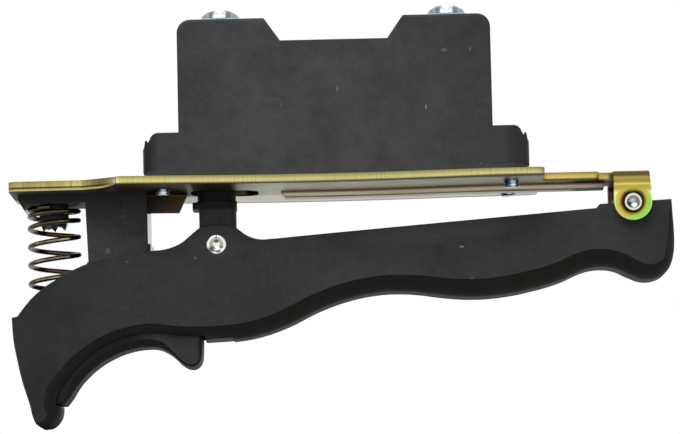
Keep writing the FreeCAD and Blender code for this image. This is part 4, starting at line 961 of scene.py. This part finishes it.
# Of the marks, the last two are broad and faint: painted highlights over the upper part of the near face.
trigger_black = black_moulding("trigger_black", (0.0265, 0.027, 0.029), grain=2400.0, scuffs=0.5, marks=(
    ((-0.0354, -0.0097, -0.0173), (0.0005, 0.002, 0.0005), 0.0, 0.3),
    ((-0.0523, -0.0097, -0.0179), (0.0005, 0.002, 0.0003), 0.0, 0.2),
    ((0.0305, -0.0097, -0.0160), (0.0007, 0.002, 0.0003), 0.2, 0.9),
    ((0.0327, -0.0097, -0.0099), (0.0003, 0.002, 0.0003), 0.0, 0.2),
    ((0.0329, -0.0097, -0.0238), (0.0004, 0.002, 0.0003), 0.0, 0.3),
    ((-0.0301, -0.0097, -0.0130), (0.0100, 0.002, 0.0055), 0.0, 0.04),
    ((0.0260, -0.0097, -0.0112), (0.0260, 0.002, 0.0042), -0.07, 0.09)), underside_shade=1.0, fades=(
    (-0.052, -0.072, 0.45), (0.066, 0.080, 0.3)))
TRIGGER_HALF = 9.7
HOOK_TOP = (-80.98, -31.1)
HOOK_LEDGE = (-79.6, -30.8)
STEP_LOW = (64.1, -7.1)
STEP_HIGH = (65.0, -6.1)
REAR_TOP = (82.8, -5.2)
TRIGGER_EDGE = [
    HOOK_TOP, HOOK_LEDGE, (-77.5, -28.1), (-74.0, -24.6), (-69.0, -21.4), (-62.6, -18.3), (-56.5, -16.7),
    (-46.5, -15.3), (-43.0, -15.0), (-39.0, -13.6), (-36.2, -11.4), (-33.5, -9.5), (-29.6, -9.0),
    (-25.6, -9.8), (-22.6, -11.9), (-19.7, -12.95), (-16.0, -12.9), (-10.0, -12.45), (0.0, -11.7),
    STEP_LOW, STEP_HIGH, REAR_TOP, (83.0, -8.4), (83.3, -12.4), (83.4, -15.4), (83.2, -18.4),
    (82.3, -21.4), (81.2, -23.0), (79.2, -24.3), (75.7, -24.7), (72.2, -23.5), (68.8, -21.9),
    (65.3, -21.4), (61.7, -21.8), (54.6, -24.6), (47.5, -26.5), (40.5, -27.7), (33.4, -28.1),
    (26.4, -27.6), (19.4, -26.6), (14.1, -26.3), (8.8, -26.6), (1.8, -28.0), (-5.3, -30.5),
    (-12.4, -33.9), (-19.5, -36.3), (-26.6, -37.4), (-33.6, -37.5), (-40.7, -37.0), (-46.8, -36.1),
    (-50.0, -36.4), (-55.4, -37.8), (-60.9, -40.9), (-65.7, -45.8), (-68.9, -51.0), (-69.5, -55.2),
    (-70.2, -56.5), (-71.5, -57.7), (-73.2, -58.1), (-75.1, -57.7), (-75.9, -56.4), (-76.9, -52.6),
    (-78.7, -46.7), (-80.0, -40.7), (-80.7, -36.7)]
TRIGGER_CORNERS = (HOOK_TOP, HOOK_LEDGE, STEP_LOW, STEP_HIGH, REAR_TOP)
bm = moulded(TRIGGER_HALF, TRIGGER_EDGE, TRIGGER_CORNERS, trigger_softness, rings=7, deep=1.8)
HOLLOW_HALF = 7.5
HOLLOW_CORNERS = [
    (-33.4, -34.4), (-33.4, -62.0), (-60.0, -62.0), (-60.0, -53.0), (-74.4, -53.0), (-74.7, -50.5),
    (-77.0, -41.0), (-78.3, -33.0), (-78.3, 6.0), (80.4, 6.0), (80.4, -19.0)]
HOLLOW_FLOOR = [
    (75.0, -21.2), (65.2, -18.3), (54.0, -21.7), (33.4, -25.0), (14.0, -23.2), (-5.3, -27.4),
    (-19.5, -33.2)]
hollow = moulded(HOLLOW_HALF, HOLLOW_CORNERS + HOLLOW_FLOOR, HOLLOW_CORNERS, trigger_softness)
BELLY_CUT = ((-33.9, -10.5, -41.0), (-26.4, 10.5, -36.95))
BELLY_SLOPE = 0.0004
for corner in block(hollow, *BELLY_CUT):
    if corner.co.x < -0.03 and corner.co.z > -0.04:
        corner.co.z -= BELLY_SLOPE
bm = carve(bm, hollow)
RIB_HALF = 7.6
RIBS = [(-12.7, -11.3, -31.6, -22.0), (5.3, 6.7, -25.5, -17.0), (25.3, 26.7, -26.0, -16.0),
        (45.3, 46.7, -25.0, -15.0)]
SPRING_SEAT = (-78.6, -64.4, -33.0, -31.0)
LEVER_STOP = (-43.0, -37.0, -24.0, -22.0)
BARREL_WEB = (72.1, 74.1, -21.5, -9.5)
for front, rear, low, high in (*RIBS, SPRING_SEAT, LEVER_STOP, BARREL_WEB):
    block(bm, (front, -RIB_HALF, low), (rear, RIB_HALF, high))
rod(bm, (SPRING_X, 0.0, -31.5), (SPRING_X, 0.0, -28.8), thick=8.4)
HINGE_PIN = (HINGE_X * 1000.0, 0.0, HINGE_Z * 1000.0)
BARREL_HALF = 9.6
barrel_ends = [(HINGE_PIN[0], y, HINGE_PIN[2]) for y in (-BARREL_HALF, BARREL_HALF)]
rod(bm, *barrel_ends, thick=9.0, sides=40)
stand_for(bm, "trigger_shell", trigger_black, "trigger_lever", "trigger_moulding", "trigger", angle=14.0)


# Rivets. Semi-tubular steel rivets, plain and bright: the front end is rolled over, the back has a dome.
# One is the hinge of the trigger in the plate's ears, the other lies in the slotted foot of the plunger.

def rivet_steel(name, pin, rings, light_and_shade_spots):
    """Rolled rivet steel, toned in rings round the pin, partly its own tone and partly painted light and
    shade on the rolled end, with painted spots on the front end.

    Each spot is how far right and up of the pin it lies, its half width and height, and its tone, bright for
    a painted highlight and dark for painted shade."""
    finish, shader, place = start_finish(name)
    x = pin[0] * 0.001
    z = pin[2] * 0.001
    dents = place.noise(900.0, 3.0, 0.6, (1.0, 0.1, 1.0))
    tone = (from_axis(place, x, z).between(0.0, 0.0025) + dents * 0.16 - 0.08).ramp(*rings)
    for right, up, wide, high, spot_tone in light_and_shade_spots:
        spot = place.spot((x + right, -0.0115, z + up), (wide, 0.006, high))
        tone = spot.mix(tone, (spot_tone, spot_tone, spot_tone, 1.0))
    feed(shader, "Base Color", tone)
    shader.inputs["Metallic"].default_value = 1.0
    feed(shader, "Roughness", dents * 0.2 + 0.16)
    return finish


LINK_PIN = (BUTTON_X, 0.0, -14.0)
hinge_steel = rivet_steel("hinge_steel", HINGE_PIN, (
    (0.00, (0.34, 0.36, 0.36)), (0.28, (0.45, 0.47, 0.47)), (0.44, (0.20, 0.22, 0.22)),
    (0.58, (0.32, 0.33, 0.33)), (0.68, (0.80, 0.79, 0.73)), (0.84, (0.88, 0.87, 0.81)),
    (0.96, (0.45, 0.42, 0.35))), (
    (-0.0009, -0.0004, 0.0007, 0.0007, 0.05), (0.0003, -0.0008, 0.0009, 0.0007, 0.95),
    (0.0008, 0.0002, 0.0005, 0.0008, 0.22)))
link_steel = rivet_steel("link_steel", LINK_PIN, (
    (0.00, (0.82, 0.82, 0.76)), (0.28, (0.85, 0.85, 0.79)), (0.37, (0.26, 0.26, 0.22)),
    (0.47, (0.48, 0.48, 0.46)), (0.62, (0.34, 0.34, 0.33)), (0.73, (0.86, 0.86, 0.83)),
    (0.92, (0.90, 0.90, 0.88)), (1.00, (0.4, 0.4, 0.4))), (
    (0.0, 0.0007, 0.0010, 0.0006, 0.07), (-0.0012, -0.0013, 0.0013, 0.0011, 0.10),
    (0.0, 0.0017, 0.0003, 0.0007, 0.16), (0.0004, -0.0018, 0.0011, 0.0006, 0.20),
    (0.0013, -0.0008, 0.0006, 0.0005, 0.14)))
HINGE_PROFILE = [
    (0.0, -11.3), (0.8, -11.4), (1.25, -11.6), (1.5, -12.0), (1.75, -12.22), (2.0, -12.22), (2.2, -12.02),
    (2.28, -11.7), (2.25, -11.3), (2.3, 12.0), (3.7, 12.05), (3.65, 12.5), (3.0, 13.1), (1.8, 13.35),
    (0.0, 13.38)]
LINK_PROFILE = [
    (0.0, -9.78), (0.6, -9.8), (1.0, -9.86), (1.2, -10.0), (1.6, -10.14), (2.0, -10.12), (2.35, -9.95),
    (2.48, -9.75), (2.45, -9.68), (2.0, -9.66), (2.0, 9.95), (3.1, 10.0), (3.05, 10.4), (2.5, 10.95),
    (1.4, 11.25), (0.0, 11.3)]
bm = bmesh.new()
turned(bm, HINGE_PROFILE, HINGE_PIN, (0.0, 1.0, 0.0), steps=40)
stand_for(bm, "hinge_pin", hinge_steel, "carrier", "rivet_steel", "hinge_rivet", angle=40.0)
bm = bmesh.new()
turned(bm, LINK_PROFILE, LINK_PIN, (0.0, 1.0, 0.0), steps=40)
stand_for(bm, "link_pin", link_steel, "trigger_lever", "rivet_steel", "link_rivet", angle=40.0)


# Lock lever. Black moulding in the floor of the finger hook, turning on two trunnions moulded with it.
# Its nose stands under the lock post until the finger presses the lever in.

def lever_softness(x, z):
    """Rounded where the finger lies, slight inside."""
    if x > -34.6 and z > -42.0:
        return blend_over(-z, 32.0, 41.0, 0.3, 1.0)
    if z > -38.4 + 0.9 * min(x + 57.0, 0.0):
        return 0.25
    return blend_over(x, -69.0, -65.0, 0.4, 1.8) if x < -46.0 else blend_over(x, -46.0, -41.0, 1.8, 0.6)


lever_black = black_moulding(
    "lever_black", (0.0265, 0.027, 0.0285), grain=2400.0, scuffs=0.4, underside_shade=1.0,
    fades=((-0.0455, -0.0520, 0.85),))
LEVER_HALF = 7.0
LEVER_TOP_REAR = (-34.2, -31.5)
LEVER_TOP_FRONT = (-44.0, -31.5)
LEVER_START = (-68.4, -52.5)
LEVER_EDGE = [
    LEVER_START, (-71.6, -52.5), (-73.2, -51.8), (-74.0, -50.2), (-73.5, -48.6), (-71.8, -47.9),
    (-69.5, -47.4), (-66.0, -43.4), (-61.5, -38.8), (-57.0, -35.4), (-53.0, -33.6), LEVER_TOP_FRONT,
    LEVER_TOP_REAR, (-34.2, -40.6), (-34.5, -42.2), (-35.4, -43.5), (-37.1, -44.0), (-39.2, -43.1),
    (-41.1, -41.3), (-43.0, -39.9), (-45.0, -39.0), (-47.6, -38.8), (-52.5, -39.5), (-57.1, -41.3),
    (-60.6, -43.5), (-63.1, -45.7), (-65.1, -48.0), (-66.9, -50.7)]
LEVER_CORNERS = (LEVER_START, LEVER_TOP_REAR, LEVER_TOP_FRONT)
bm = moulded(LEVER_HALF, LEVER_EDGE, LEVER_CORNERS, lever_softness, rings=6, deep=1.3)
NOSE = ((-56.6, -3.8, -37.0), (-53.6, 3.8, -24.6))
TRUNNIONS = ((-71.6, -8.3, -50.0), (-71.6, 8.3, -50.0))
block(bm, *NOSE)
rod(bm, *TRUNNIONS, thick=3.0)
stand_for(bm, "finger_lever", lever_black, "lock_off", "lever_moulding", "lock_lever", angle=14.0)
